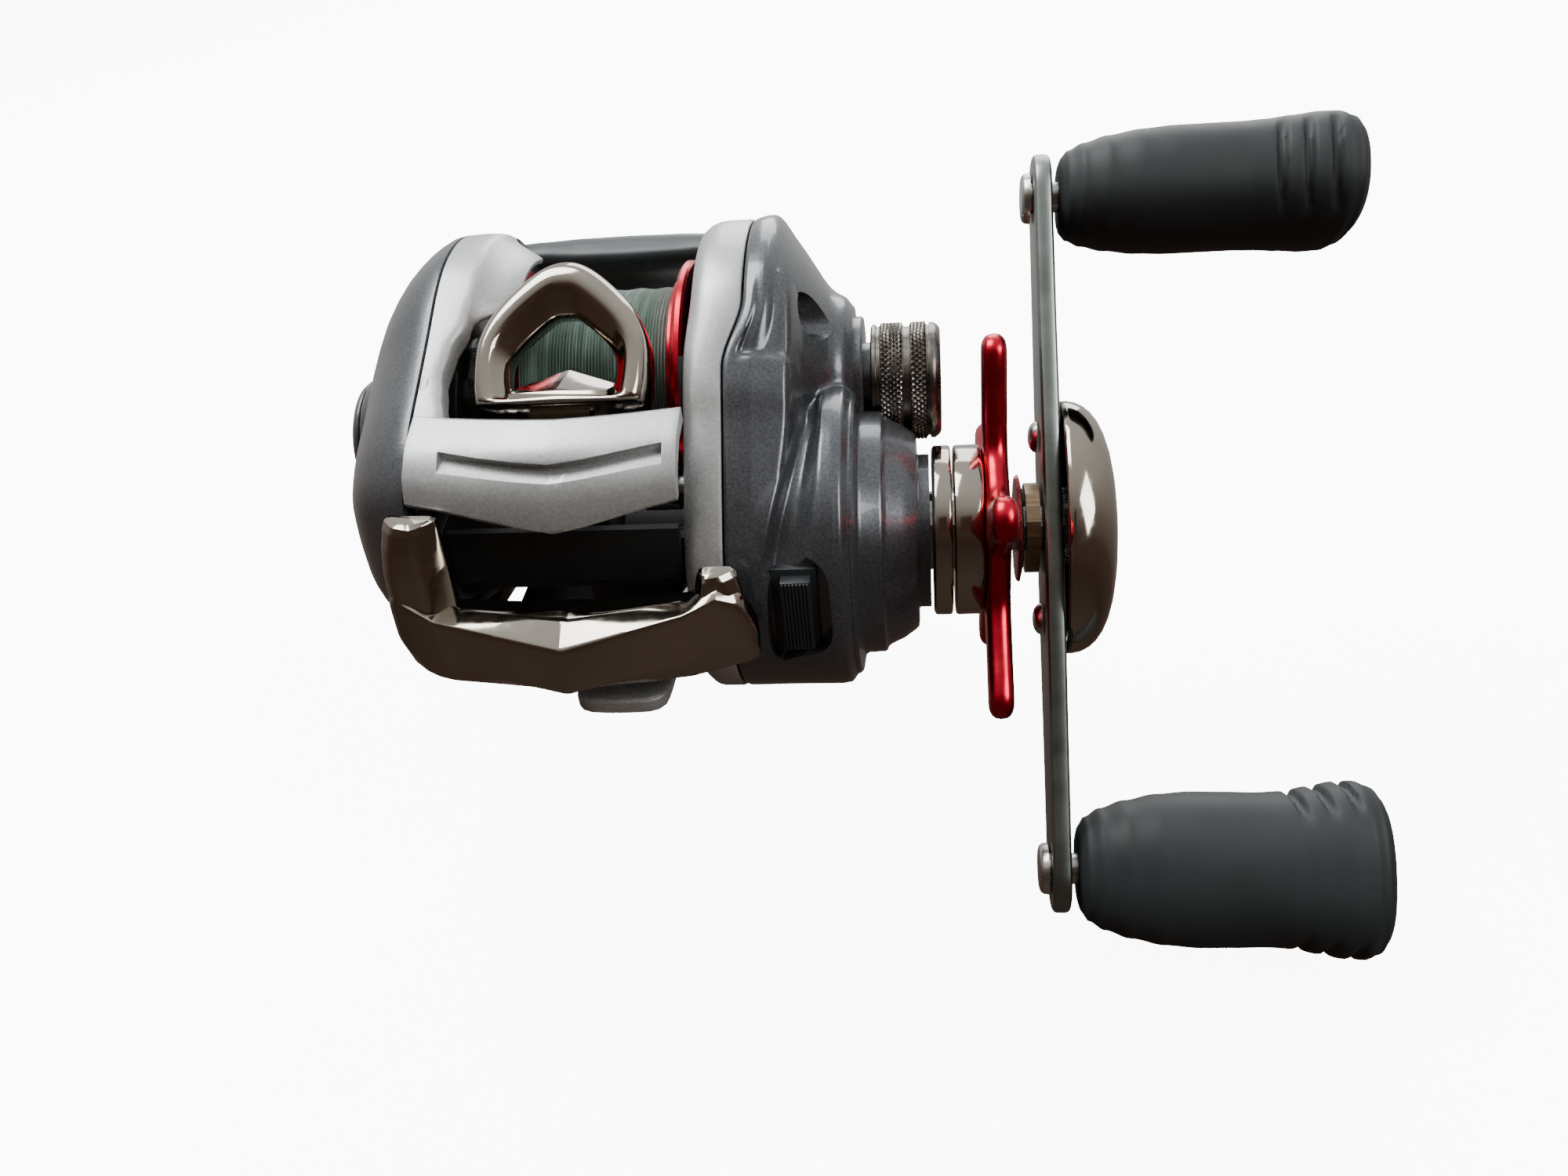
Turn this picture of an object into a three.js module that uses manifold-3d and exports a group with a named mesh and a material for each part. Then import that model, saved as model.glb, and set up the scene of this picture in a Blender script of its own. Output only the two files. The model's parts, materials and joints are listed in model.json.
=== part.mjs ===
// Low-profile baitcasting reel, left-hand retrieve, with a sprung finger bar at the front.
// Millimetres, +Z up, -Y towards the rod tip, +X towards the handle.
// Everything is laid out from the centre of the spool and then moved as a whole, so
// that the origin is on the underside of the foot, straight below the spool's axis.
import * as THREE from 'three';
import { mergeVertices } from 'three/addons/utils/BufferGeometryUtils.js';
import Module from 'manifold-3d';

const wasm = await Module();
wasm.setup();

// ---- driving dimensions -------------------------------------------------
const FOOT_X = 4.3;            // foot centreline, from the middle of the spool
const SEAT_Z = 24;             // spool axis above the underside of the foot
const SPOOL_R = 16.8;          // spool flange radius
const LINE_R = 13.4;           // radius the line is wound to
const SHAFT = [15.0, -13.83];  // drive shaft centre (forward, up) from the spool axis
const MODULE = 0.6;            // gear module
const DRIVE_T = 58;            // drive gear teeth
const PINION_T = 10;           // pinion teeth
const WORM_DRIVE_T = 27;       // gear on the drive shaft that turns the worm
const WORM_T = 16;             // gear on the worm
const WORM = [21.42, -2.64];   // worm shaft centre
const COVER_R = 19.4;          // gear cover radius round the drive shaft
const TOP_R = 21.5;            // side plates' radius round the spool axis
const PALM_X = -17.3;          // parting plane, palm side
const GEAR_X = 18.4;           // parting plane, gear side
const STAR_R = 24.6;             // star drag tip radius
const ARM_R = 42.7;              // handle: crank axis to knob pin
const ARM_T = 2.3;             // handle arm thickness
const KNOB_L = 36.2;           // knob length
const CAST_R = 7.65;           // cast control knob radius
const BAR_PIVOT = [8, -18.7];  // finger bar pivot

// ---- colours ------------------------------------------------------------
const mat = (c, r, m) => new THREE.MeshStandardMaterial({ color: c, roughness: r, metalness: m });
const SILVER = [0xb9bcbb, 0.42, 0.55], CHARCOAL = [0x515457, 0.3, 0.6], SMOKE = [0x8a8078, 0.12, 1.0];
const RED = [0xb01c34, 0.28, 0.85], BLACK = [0x24292b, 0.5, 0.0], RUBBER = [0x2a2f31, 0.8, 0.0];
const STEEL = [0xa8a8a6, 0.3, 0.95], GUN = [0x6d6860, 0.35, 0.9], BRASS = [0xb08d4a, 0.3, 0.9];
const LINE = [0x4c6659, 0.75, 0.0], CARBON = [0x1d1d1f, 0.7, 0.0], GREY = [0x6a6f70, 0.6, 0.0];
const ARMC = [0x6f7a76, 0.3, 0.85];

// ---- geometry helpers ---------------------------------------------------
const D = Math.PI / 180;
function weld(g) {
  let h = g.index ? g.toNonIndexed() : g.clone();
  for (const k of Object.keys(h.attributes)) if (k !== 'position') h.deleteAttribute(k);
  h = mergeVertices(h, 1e-4);
  const idx = h.index.array, keep = [];
  for (let i = 0; i < idx.length; i += 3) {
    const [a, b, c] = [idx[i], idx[i + 1], idx[i + 2]];
    if (a !== b && b !== c && a !== c) keep.push(a, b, c);
  }
  const p = h.attributes.position.array;
  let vol = 0;
  for (let i = 0; i < keep.length; i += 3) {
    const a = keep[i] * 3, b = keep[i + 1] * 3, c = keep[i + 2] * 3;
    vol += p[a] * (p[b + 1] * p[c + 2] - p[b + 2] * p[c + 1]) - p[a + 1] * (p[b] * p[c + 2] - p[b + 2] * p[c])
      + p[a + 2] * (p[b] * p[c + 1] - p[b + 1] * p[c]);
  }
  if (vol < 0) for (let i = 0; i < keep.length; i += 3) [keep[i + 1], keep[i + 2]] = [keep[i + 2], keep[i + 1]];
  return new wasm.Manifold(new wasm.Mesh({
    numProp: 3, vertProperties: new Float32Array(p), triVerts: new Uint32Array(keep),
  }));
}
// Outline points are [forward, up]; the solid runs from x0 to x1.
function extX(pts, x0, x1, holes = []) {
  const s = new THREE.Shape(pts.map(([f, z]) => new THREE.Vector2(-f, z)));
  const g = new THREE.ExtrudeGeometry(s, { depth: x1 - x0, bevelEnabled: false, steps: 1 });
  g.applyMatrix4(new THREE.Matrix4().set(0, 0, 1, x0, 1, 0, 0, 0, 0, 1, 0, 0, 0, 0, 0, 1));
  return holes.reduce((m, h) => m.subtract(extX(h, x0 - 1, x1 + 1)), weld(g));
}
// Outline points are [x, forward]; the solid runs from z0 to z1.
function extZ(pts, z0, z1) {
  const s = new THREE.Shape(pts.map(([x, f]) => new THREE.Vector2(x, -f)));
  const g = new THREE.ExtrudeGeometry(s, { depth: z1 - z0, bevelEnabled: false, steps: 1 });
  g.translate(0, 0, z0);
  return weld(g);
}
// Outline points are [x, up]; the solid runs from forward f0 to f1.
function extF(pts, f0, f1) {
  const s = new THREE.Shape(pts.map(([x, z]) => new THREE.Vector2(x, z)));
  const g = new THREE.ExtrudeGeometry(s, { depth: f1 - f0, bevelEnabled: false, steps: 1 });
  g.applyMatrix4(new THREE.Matrix4().set(1, 0, 0, 0, 0, 0, -1, -f0, 0, 1, 0, 0, 0, 0, 0, 1));
  return weld(g);
}
// Profile points are [x, radius]; turned about the X direction through [f, z].
function latheX(prof, c = [0, 0], seg = 32) {
  const pts = prof.map(([x, r]) => new THREE.Vector2(r, x));
  const closed = prof[0][1] > 1e-6 || prof[prof.length - 1][1] > 1e-6;
  if (closed) pts.push(pts[0].clone());
  const g = new THREE.LatheGeometry(pts, Math.round(seg * 0.75));
  g.applyMatrix4(new THREE.Matrix4().set(0, 1, 0, 0, 0, 0, 1, -c[0], 1, 0, 0, c[1], 0, 0, 0, 1));
  return weld(g);
}
const cylX = (x0, x1, r, c = [0, 0], seg = 32) => latheX([[x0, 0], [x0, r], [x1, r], [x1, 0]], c, seg);
const ringX = (x0, x1, ri, ro, c = [0, 0], seg = 32) => latheX([[x0, ri], [x0, ro], [x1, ro], [x1, ri]], c, seg);
function box(x0, x1, f0, f1, z0, z1) {
  const g = new THREE.BoxGeometry(x1 - x0, f1 - f0, z1 - z0);
  g.translate((x0 + x1) / 2, -(f0 + f1) / 2, (z0 + z1) / 2);
  return weld(g);
}
// A skinned solid through rings of [x, forward, up] points that all have the same count.
function loft(rings, cap = 'x') {
  const pos = [], n = rings[0].length;
  const P = ([x, f, z]) => [x, -f, z];
  const tri = (a, b, c) => pos.push(...P(a), ...P(b), ...P(c));
  for (let k = 0; k + 1 < rings.length; k++) for (let i = 0; i < n; i++) {
    const j = (i + 1) % n, a = rings[k], b = rings[k + 1];
    tri(a[i], a[j], b[j]); tri(a[i], b[j], b[i]);
  }
  const flat = (p) => cap === 'x' ? new THREE.Vector2(p[1], p[2]) : cap === 'z' ? new THREE.Vector2(p[0], p[1]) : new THREE.Vector2(p[0], p[2]);
  for (const [r, first] of [[rings[0], true], [rings[rings.length - 1], false]]) {
    const v = r.map(flat);
    const area = THREE.ShapeUtils.area(v);
    const f = THREE.ShapeUtils.triangulateShape(v, []);
    // rim edges of the side run i -> j on the first ring, so its cap runs j -> i
    for (const [a, b, c] of f) {
      const s = (v[b].x - v[a].x) * (v[c].y - v[a].y) - (v[b].y - v[a].y) * (v[c].x - v[a].x);
      const along = s * area > 0;
      if (first === along) tri(r[a], r[c], r[b]); else tri(r[a], r[b], r[c]);
    }
  }
  const g = new THREE.BufferGeometry();
  g.setAttribute('position', new THREE.Float32BufferAttribute(pos, 3));
  return weld(g);
}
const arc = (c, r, a0, a1, n) => Array.from({ length: n }, (_, i) => {
  const a = (a0 + (a1 - a0) * i / (n - 1)) * D;
  return [c[0] + r * Math.cos(a), c[1] + r * Math.sin(a)];
});
const circle = (c, r, n) => arc(c, r, 0, 360 * (n - 1) / n, n);
const scaled = (pts, c, s) => pts.map(([f, z]) => [c[0] + (f - c[0]) * s, c[1] + (z - c[1]) * s]);
const at = (pts, x) => pts.map(([f, z]) => [x, f, z]);
const union = (...m) => m.reduce((a, b) => a.add(b));
// Spur gear outline with narrow teeth, so that a pair runs with backlash.
function gearOutline(t, c, phase, add = 0.42, ded = 0.74, fill = 0.58) {
  const r = MODULE * t / 2, pts = [], p = 360 / t;
  for (let i = 0; i < t; i++) {
    const a = phase + i * p, w = p / 4 * fill;
    for (const [da, rr] of [[-w * 1.55, r - ded], [-w * 0.62, r + add], [w * 0.62, r + add], [w * 1.55, r - ded]])
      pts.push([c[0] + rr * Math.cos((a + da) * D), c[1] + rr * Math.sin((a + da) * D)]);
  }
  return pts;
}

const reel = new THREE.Group();
reel.name = 'baitcasting_reel';
const solids = {};
function put(name, m, [color, rough, metal]) {
  const mesh = m.getMesh(), np = mesh.numProp, n = mesh.vertProperties.length / np;
  const pos = new Float32Array(n * 3);
  for (let i = 0; i < n; i++) {
    pos[3 * i] = mesh.vertProperties[i * np]; pos[3 * i + 1] = mesh.vertProperties[i * np + 1];
    pos[3 * i + 2] = mesh.vertProperties[i * np + 2];
  }
  const g = new THREE.BufferGeometry();
  g.setAttribute('position', new THREE.BufferAttribute(pos, 3));
  g.setIndex(new THREE.BufferAttribute(new Uint32Array(mesh.triVerts), 1));
  g.computeVertexNormals();
  const o = new THREE.Mesh(g, mat(color, rough, metal));
  o.name = name;
  solids[name] = m;
  inner.add(o);
}
const inner = new THREE.Group();
inner.position.set(-FOOT_X, 0, SEAT_Z);
reel.add(inner);

// ---- side outlines ------------------------------------------------------
const PALM = [...arc([0, 0], 21.4, 208, 62, 12), [15.3, 16.0], [21, 13], [26, 10.4], [30.5, 7.4], [34.0, 3.5], [35.4, -2],
  [35.7, -8], [35.0, -14], [31.2, -19.4], [24, -22.2], [10, -23.2], [-4, -22.6], [-13, -18.6]];
const PALM_C = [7, -2];
const GEAR = [...arc([0, 0], TOP_R, 200, 54, 12), [19.6, 11.2], [23, 7], [26.5, 2.8], [30.3, -2], [33.3, -6.6],
  ...arc(SHAFT, COVER_R, 6, -138, 12), [-9, -22.2], [-16.6, -14.8]];
const GEAR_C = [10, -9];

// ---- main frame: palm-side wall, gear-side wall with its rim, and cross members ----
{
  const left = extX(scaled(PALM, PALM_C, 0.915), -16.7, -14.9, [circle([0, 0], 17.4, 32)])
    .subtract(extX([[18.5, 13.4], [19.2, 11.4], [21.6, 8.6], [26.6, 6.6], [31, 2.7], [33.6, -1.6], [44, -1.6], [44, 14]], -18, -14))
    .subtract(box(-18, -14, 34.3, 45, -22, 4))
    .subtract(cylX(-17, -14, 3.4, WORM, 20))
    .subtract(cylX(-17, -14.6, 1.9, BAR_PIVOT, 16));
  const pocket = union(cylX(15.3, 18.6, 17.2, [0, 0], 40), cylX(15.3, 18.6, 18.3, SHAFT, 48), cylX(15.3, 18.6, 5.9, WORM, 24));
  const right = extX(GEAR, 13.4, 18.1).subtract(pocket)
    .subtract(cylX(13, 16, 5.1, [0, 0], 28)).subtract(cylX(13, 16, 4.9, SHAFT, 24))
    .subtract(cylX(13, 16, 3.4, WORM, 20)).subtract(cylX(13, 16, 1.9, BAR_PIVOT, 16))
    .subtract(box(13, 18.6, -17.6, -13.2, -2.6, 9.4));
  const bridge = box(-15.2, 13.8, -9, 21.5, -21.8, -18.9)
    .subtract(box(-15.3, -11.6, 4.5, 22, -22, -18)).subtract(box(10.6, 13.9, 4.5, 22, -22, -18))
    .subtract(box(-9.5, -2, -6, 18.5, -23, -18));
  const rear = extX([[-20.6, -9.5], [-18, -9.5], [-17.8, -2], [-20.4, -2]], -15.2, 13.8);
  const pillar = extX([[19.4, -21.8], [25, -21.8], [26.4, -11.0], [22.6, -11.0]], -0.2, 10.3);
  const posts = union(cylX(15.2, 29.4, 1.0, [6.1, 6.6], 14), cylX(15.2, 29.4, 1.0, [-6.1, -6.6], 14));
  put('main_frame', union(left, right, bridge, rear, pillar, posts), SILVER);
}

// ---- foot and its rivets ------------------------------------------------
{
  const w = 5.9, z0 = -24, z1 = -22.1;
  const half = [[2.4, 38.2], [4.6, 37.7], [5.6, 36], [w, 30], [w, 20], [8.2, 12], [8.2, -9], [w, -18], [w, -29], [5.4, -34.6], [4.4, -36.2], [2.4, -36.6]];
  const pts = [...half.map(([x, f]) => [x + FOOT_X, f]), ...half.slice().reverse().map(([x, f]) => [FOOT_X - x, f])];
  let foot = extZ(pts, z0, z1);
  for (const [x, f] of [[-4.5, -5], [4.5, -5], [0, 15.5]]) foot = foot.subtract(cylZ(FOOT_X + x, f, -24.5, -21, 1.5));
  put('reel_foot', foot, SILVER);
  let i = 0;
  for (const [x, f] of [[-4.5, -5], [4.5, -5], [0, 15.5]]) {
    put('foot_rivet_' + 'abc'[i++], cylZ(FOOT_X + x, f, -23.6, -22.1, 1.2), STEEL);
  }
}
function cylZ(x, f, z0, z1, r, seg = 16) {
  const g = new THREE.CylinderGeometry(r, r, z1 - z0, seg);
  g.rotateX(Math.PI / 2);
  g.translate(x, -f, (z0 + z1) / 2);
  return weld(g);
}
function cylF(x, z, f0, f1, r, seg = 16) {
  const g = new THREE.CylinderGeometry(r, r, f1 - f0, seg);
  g.translate(x, -(f0 + f1) / 2, z);
  return weld(g);
}

// ---- front shroud: arch over the palm end of the spool and the V-shaped front panel ----
{
  const band = (k0, k1) => [...PALM.slice(0, 17).map(([f, z]) => [6 + (f - 6) * k0, -2 + (z + 2) * k0]),
    ...PALM.slice(0, 17).map(([f, z]) => [6 + (f - 6) * k1, -2 + (z + 2) * k1]).reverse()];
  const skin = extX(band(1, 0.925), -17, -12.3);
  const rim = skin.intersect(box(-18, -12, -10.5, 13.0, 0, 30));
  const front = skin.intersect(box(-18, -14.4, 12.5, 25.0, 4, 30));
  // sloped lip that runs down from the crease towards the spool
  const lip = loft([band(1, 0.925), band(0.955, 0.84), band(0.87, 0.83)].map((r, i) => at(r, [-12.9, -11.2, -9.9][i])))
    .intersect(box(-18, -9, -8.5, 9.0, 0, 30));
  const sec = (x, f, z, d) => [[25.4 + f, 10.3], [29.6 + f, 9.3], [33.2 + f, 6.4 + z], [34.4 + f, 3.4 + d],
    [33.1 + f, 3.2 + d], [31.9 + f, 5.5 + z], [28.8 + f, 7.9], [25.2 + f, 8.6]].map(([a, b]) => [x, a, b]);
  const panel = loft([sec(-17, 0, 0.3, 0.4), sec(-8.5, 1.3, -0.4, -1), sec(0, 2.0, -1.2, -2.6), sec(7, 1.3, -0.4, -1.2), sec(13.3, 0.2, 0.2, 0.2)]);
  const slot = extF([[-13.4, 7.2], [0, 6.2], [13.4, 7.2], [13.4, 9.0], [0, 8.2], [-13.4, 9.0]], 32.2, 38)
    .intersect(box(-12.9, 12.7, 28, 40, 0, 12));
  const cheek = extX([[24.6, 10.9], [28.6, 9.4], [32.6, 6.6], [34.0, 3.8], [34.4, 2.7], [32.6, 2.7], [31.4, 3.5], [27, 7.4], [22, 9.5], [19.5, 12.2], [21, 13]], -17, -16.05);
  put('front_shroud', union(rim, front, lip, panel.subtract(slot), cheek), SILVER);
}

// ---- palm side: dark cover, inner plate, magnetic brake ------------------
{
  const ring = (x, s) => at(scaled(PALM, PALM_C, s), x);
  const outer = loft([ring(PALM_X, 1), ring(-19.6, 0.965), ring(-22, 0.905), ring(-24.5, 0.815), ring(-26.8, 0.69), ring(-28.8, 0.555), ring(-29.8, 0.42)].reverse());
  const inside = loft([ring(-16, 0.95), ring(-19.2, 0.915), ring(-21.6, 0.85), ring(-24, 0.75), ring(-26.2, 0.61), ring(-28, 0.44)].reverse());
  const DIAL = [6, -3];
  const bump = cylX(-30.6, -27, 8.4, DIAL, 32);
  put('palm_cover', outer.add(bump).subtract(inside).subtract(cylX(-31.2, -26, 2.3, DIAL, 18)), CHARCOAL);
  put('palm_plate', latheX([[-22.4, 0], [-22.4, 15.4], [-21.0, 16.2], [-20.9, 5.0], [-16.8, 5.0], [-16.8, 3.1], [-20.2, 3.1], [-20.2, 0]], [0, 0], 36)
    .subtract(cylX(-23, -20, 2.6, [6, -3 - 6.6 + 0], 14)), BLACK);
  put('palm_bearing', ringX(-19.6, -17.2, 1.6, 2.8, [0, 0], 20), STEEL);
  put('magnet_plate', latheX([[-20.6, 5.4], [-20.6, 8.4], [-15.6, 8.4], [-15.6, 6.6], [-19, 6.6], [-19, 5.4]], [0, 0], 28), STEEL);
  put('brake_dial', union(latheX([[-33.4, 0], [-33.4, 6.4], [-32.7, 7.9], [-31.0, 8.3], [-30.9, 0]], DIAL, 32), cylX(-31.2, -25.6, 1.9, DIAL, 16)), GREY);
}

// ---- spool, line and shaft -----------------------------------------------
put('spool', latheX([[-10.3, 2.3], [-10.3, 4.2], [-7, 6], [-9.4, 14.6], [-11.8, 15.4], [-11.8, 16.6], [-10.4, SPOOL_R], [-7.6, 7.6],
  [8.4, 7.6], [11.2, SPOOL_R], [12.6, 16.6], [12.6, 15.4], [10.2, 14.6], [8, 6], [11.2, 4.2], [11.2, 2.3]], [0, 0], 40), RED);
put('line_pack', latheX([[-7.35, 7.9], [8.15, 7.9], [9.8, LINE_R], [-9.0, LINE_R]], [0, 0], 40), LINE);
put('spool_shaft', latheX([[-19.8, 0], [-19.8, 1.3], [-13, 1.3], [-13, 2], [12.9, 2], [12.9, 1.1], [32.6, 1.1], [32.6, 0]], [0, 0], 20)
  .subtract(cylF(16.4, 0, -4, 4, 0.7, 12)), STEEL);
put('clutch_pin', cylF(16.4, 0, -2.5, 2.5, 0.4, 10), STEEL);
put('brake_rotor', latheX([[-10.6, 2.4], [-10.6, 9.9], [-15.6, 9.9], [-15.6, 9.0], [-11.4, 9.0], [-11.4, 2.4]], [0, 0], 32), STEEL);
put('spool_bearing', ringX(13.5, 15.2, 1.4, 4.8, [0, 0], 24), STEEL);

// ---- line guide and its worm ---------------------------------------------
const GX = -0.3; // guide centre
{
  const t = [-0.751, 0.660], n = [0.660, 0.751], base = [25.1, 11.25];
  const P3 = ([u, v], d) => [GX + u, base[0] + t[0] * v + n[0] * d, base[1] + t[1] * v + n[1] * d];
  const outer = [[-9.0, 0], [9.0, 0], [10.0, 1.6], [10.3, 5], [10.0, 8.6], [8.3, 12.3], [5.2, 15.6], [2.2, 17.9], [0, 18.5], [-2.2, 17.9], [-5.2, 15.6], [-8.3, 12.3], [-10.0, 8.6], [-10.3, 5], [-10.0, 1.6]];
  const innr = [[-5.5, 2.0], [0, 3.2], [5.5, 2.0], [5.9, 3.2], [5.6, 7.4], [1.2, 12.4], [0, 12.9], [-1.2, 12.4], [-5.6, 7.4], [-5.9, 3.2]];
  const body = loft([outer.map((p) => P3([p[0] * 0.96, p[1] * 0.97 + 0.3], 0)), outer.map((p) => P3(p, -1.2)), outer.map((p) => P3(p, -4.6)), outer.map((p) => P3([p[0] * 0.97, p[1] * 0.98 + 0.2], -5.6))], 'y');
  const hole = loft([innr.map((p) => P3([p[0] * 1.12, (p[1] - 6) * 1.1 + 6], 0.5)), innr.map((p) => P3(p, -2)), innr.map((p) => P3(p, -6.2))], 'y');
  const neck = box(GX - 3.6, GX + 3.6, 21.8, 24.6, 5.9, 9.6);
  put('line_guide', body.subtract(hole).add(neck), SMOKE);
  const car = extX([[18.0, 4.8], [17.7, -2.6], [18.4, -6.8], [22.4, -8.7], [23.2, -8.7], [23.2, -6.0], [26.2, -6.0], [26.2, -8.7], [27.4, -8.7], [27.4, 0.8], [25.0, 5.6], [19.4, 5.6]], GX - 4.4, GX + 4.4)
    .subtract(cylX(-8, 8, 2.95, WORM, 24));
  put('guide_carriage', car, BLACK);
  put('guide_rod', cylX(-14.7, 13.2, 1.15, [24.7, -7.4], 12), STEEL);
  put('worm_shaft', latheX([[-16.5, 0], [-16.5, 1.6], [-14.6, 1.6], [-14.6, 2.65], [13.1, 2.65], [13.1, 1.6], [18.0, 1.6], [18.0, 0]], WORM, 20), STEEL);
  put('worm_bearing', ringX(-16.6, -15.0, 1.9, 3.1, WORM, 18), STEEL);
  put('worm_guard', extX([[30.2, -9.5], [30.2, -2.2], [31.3, -2.2], [31.3, -9.2], [30.9, -9.2], [30.4, -10.6], [21.2, -10.6], [21.2, -9.5]], -14.6, 13.1), BLACK);
}

// ---- finger bar -----------------------------------------------------------
{
  const C = (x, a, b, c, d, e, f) => [[x, ...a], [x, ...b], [x, ...c], [x, ...d], [x, ...e], [x, ...f]];
  const cross = loft([
    C(-20.5, [36.3, -6.5], [37.2, -5.8], [38.2, -7.0], [38.3, -10.5], [37.2, -13.2], [36.2, -12.2]),
    C(-19.2, [36.1, -5.5], [38.2, -4.2], [39.7, -6.0], [39.8, -12.0], [38.2, -16.0], [36.0, -14.6]),
    C(-16.4, [35.9, -7.4], [38.1, -6.2], [40.8, -6.8], [40.8, -13.4], [39.2, -17.5], [35.6, -15.4]),
    C(-14.4, [35.6, -8.2], [38.0, -7.6], [41.3, -7.8], [41.5, -13.8], [39.6, -17.7], [35.2, -15.6]),
    C(0, [35.6, -9.0], [38.8, -9.6], [42.4, -11.3], [43.2, -16.9], [40.7, -18.3], [36.2, -16.6]),
    C(14.2, [35.6, -8.0], [38.0, -7.4], [41.1, -7.7], [41.0, -14.0], [39.4, -17.7], [35.2, -15.6]),
    C(18.0, [36.0, -6.4], [38.1, -5.2], [40.0, -6.4], [40.0, -12.2], [38.7, -17.1], [35.9, -15.4]),
    C(20.6, [36.2, -7.4], [37.8, -6.6], [39.3, -8.0], [39.4, -13.2], [38.2, -16.8], [36.1, -15.4]),
    C(22.1, [36.4, -11.0], [37.2, -10.6], [38.3, -11.6], [38.5, -14.0], [37.6, -16.0], [36.3, -15.0]),
  ]);
  const Z = (z, p) => p.map(([x, f]) => [x, f, z]);
  const aL = (z, x0, x1, f0, f1) => Z(z, [[x0, f0], [x1, f0], [x1, f0 + 1.0], [x1 - 2.3, f1], [x0 + 1.4, f1 - 0.8], [x0, f1 - 2.4]]);
  const armL = loft([aL(-12, -20.3, -12.9, 36.2, 39.9), aL(-7, -20.3, -12.7, 36.1, 40.5), aL(-1, -20.0, -12.6, 36.1, 40.3), aL(2.2, -19.3, -12.7, 36.1, 39.4), aL(3.4, -18.7, -13.0, 36.2, 38.8)], 'z');
  const aR = (z, x0, x1, f0, f1) => Z(z, [[x1, f0], [x0, f0], [x0, f0 + 1.2], [x0 + 1.0, f1], [x1 - 1.4, f1 - 0.4], [x1, f1 - 1.6]]).reverse();
  const armR = loft([aR(-14, 15.0, 22.0, 36.2, 39.4), aR(-8.4, 15.1, 21.1, 36.1, 39.6), aR(-5.2, 15.6, 20.3, 36.1, 39.0), aR(-4.2, 16.2, 19.8, 36.2, 38.4)], 'z');
  // side levers that run back to the pivot, just inside the frame walls
  const lever = (x0, x1) => extX([[36.4, -9.5], [36.4, -13], [30, -17.2], [9, -20.8], [6.2, -20.4], [5.6, -18.4], [7, -16.9], [9.4, -16.9], [22, -16.4], [31, -12.8]], x0, x1);
  const pins = union(cylX(-16.4, -14.2, 1.5, BAR_PIVOT, 14), cylX(12.4, 14.9, 1.5, BAR_PIVOT, 14));
  put('finger_bar', union(cross, armL, armR, lever(-14.4, -13.0), lever(11.4, 12.8), pins), SMOKE);
}

// ---- thumb bar -------------------------------------------------------------
{
  const s = (x, d) => [[-18.2 - d, 13.6], [-20.6 - d, 14.1], [-23.4 - d, 12.4], [-24.2 - d, 8.6], [-23.2 - d, 5.4], [-21.6 - d, 5.0], [-19.6, 8.2], [-17.9, 10.4], [-17.0, 12.6]].map(([a, b]) => [x, a, b]);
  const bar = loft([s(-14.5, -0.4), s(-12.0, -0.4), s(-6, 0.2), s(0, 0.4), s(7, 0.2), s(13.1, -0.4)]);
  const tongue = union(box(12.6, 15.8, -17.2, -15.0, 4.6, 8.8), box(11.6, 13.0, -19.6, -17.1, 6.6, 8.8), box(11.6, 13.05, -20.6, -17.6, 6.0, 10.4));
  const cheek = extX([...arc([0, 0], 21.2, 120, 146, 6), [-19.0, 13.0], [-18.0, 10.6], ...arc([0, 0], 18.6, 144, 120, 5)], -14.5, -12.4).intersect(box(-15, -12, -30, -10.75, 0, 30));
  put('thumb_bar', union(bar, cheek, tongue), BLACK);
  put('clutch_cam', extX([[-17.3, 9.0], [-13.4, 9.0], [-8.2, 6.0], [-8.2, 3.4], [-13.2, 0.4], [-17.3, 3.0]], 16.1, 17.4), STEEL);
}

// ---- drive train -----------------------------------------------------------
const toPinion = Math.atan2(-SHAFT[1], -SHAFT[0]) / D;   // from drive shaft to spool axis
const toGear = toPinion + 180;
const toWorm = Math.atan2(WORM[1] - SHAFT[1], WORM[0] - SHAFT[0]) / D;
put('drive_gear', extX(gearOutline(DRIVE_T, SHAFT, toPinion), 20, 22.9, [circle(SHAFT, 3.4, 20)]), BRASS);
put('pinion', union(
  extX(gearOutline(PINION_T, [0, 0], toGear + 18), 19.4, 25.5),
  cylX(15.7, 18.3, 3.1, [0, 0], 20), cylX(18.2, 19.5, 2.35, [0, 0], 16), cylX(25.4, 26.0, 3.4, [0, 0], 20), cylX(25.9, 27.8, 2.3, [0, 0], 20), cylX(27.7, 28.2, 3.4, [0, 0], 20))
  .subtract(cylX(14, 30, 1.4, [0, 0], 16)).subtract(box(15, 17.5, -4, 4, -0.75, 0.75)), BRASS);
{
  // C-shaped yoke in the pinion's groove, on two guide posts
  const a = [0.678, 0.735], b = [-0.735, 0.678];
  const q = (u, v) => [a[0] * u + b[0] * v, a[1] * u + b[1] * v];
  const y = union(extX([q(-10.8, -2.4), q(10.8, -2.4), q(10.8, 2.4), q(-10.8, 2.4)], 26.3, 27.4), cylX(26.3, 27.4, 5.2, [0, 0], 24));
  put('clutch_yoke', y.subtract(cylX(25, 29, 2.65, [0, 0], 20)).subtract(extX([q(-2.65, 0), q(2.65, 0), q(2.65, 9), q(-2.65, 9)], 25, 29))
    .subtract(cylX(25, 29, 1.3, [6.1, 6.6], 14)).subtract(cylX(25, 29, 1.3, [-6.1, -6.6], 14)), BLACK);
}
put('drive_shaft', latheX([[12.9, 0], [12.9, 3.0], [50, 3.0], [50, 2.8], [61.6, 2.8], [61.6, 0]], SHAFT, 20), STEEL);
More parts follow.
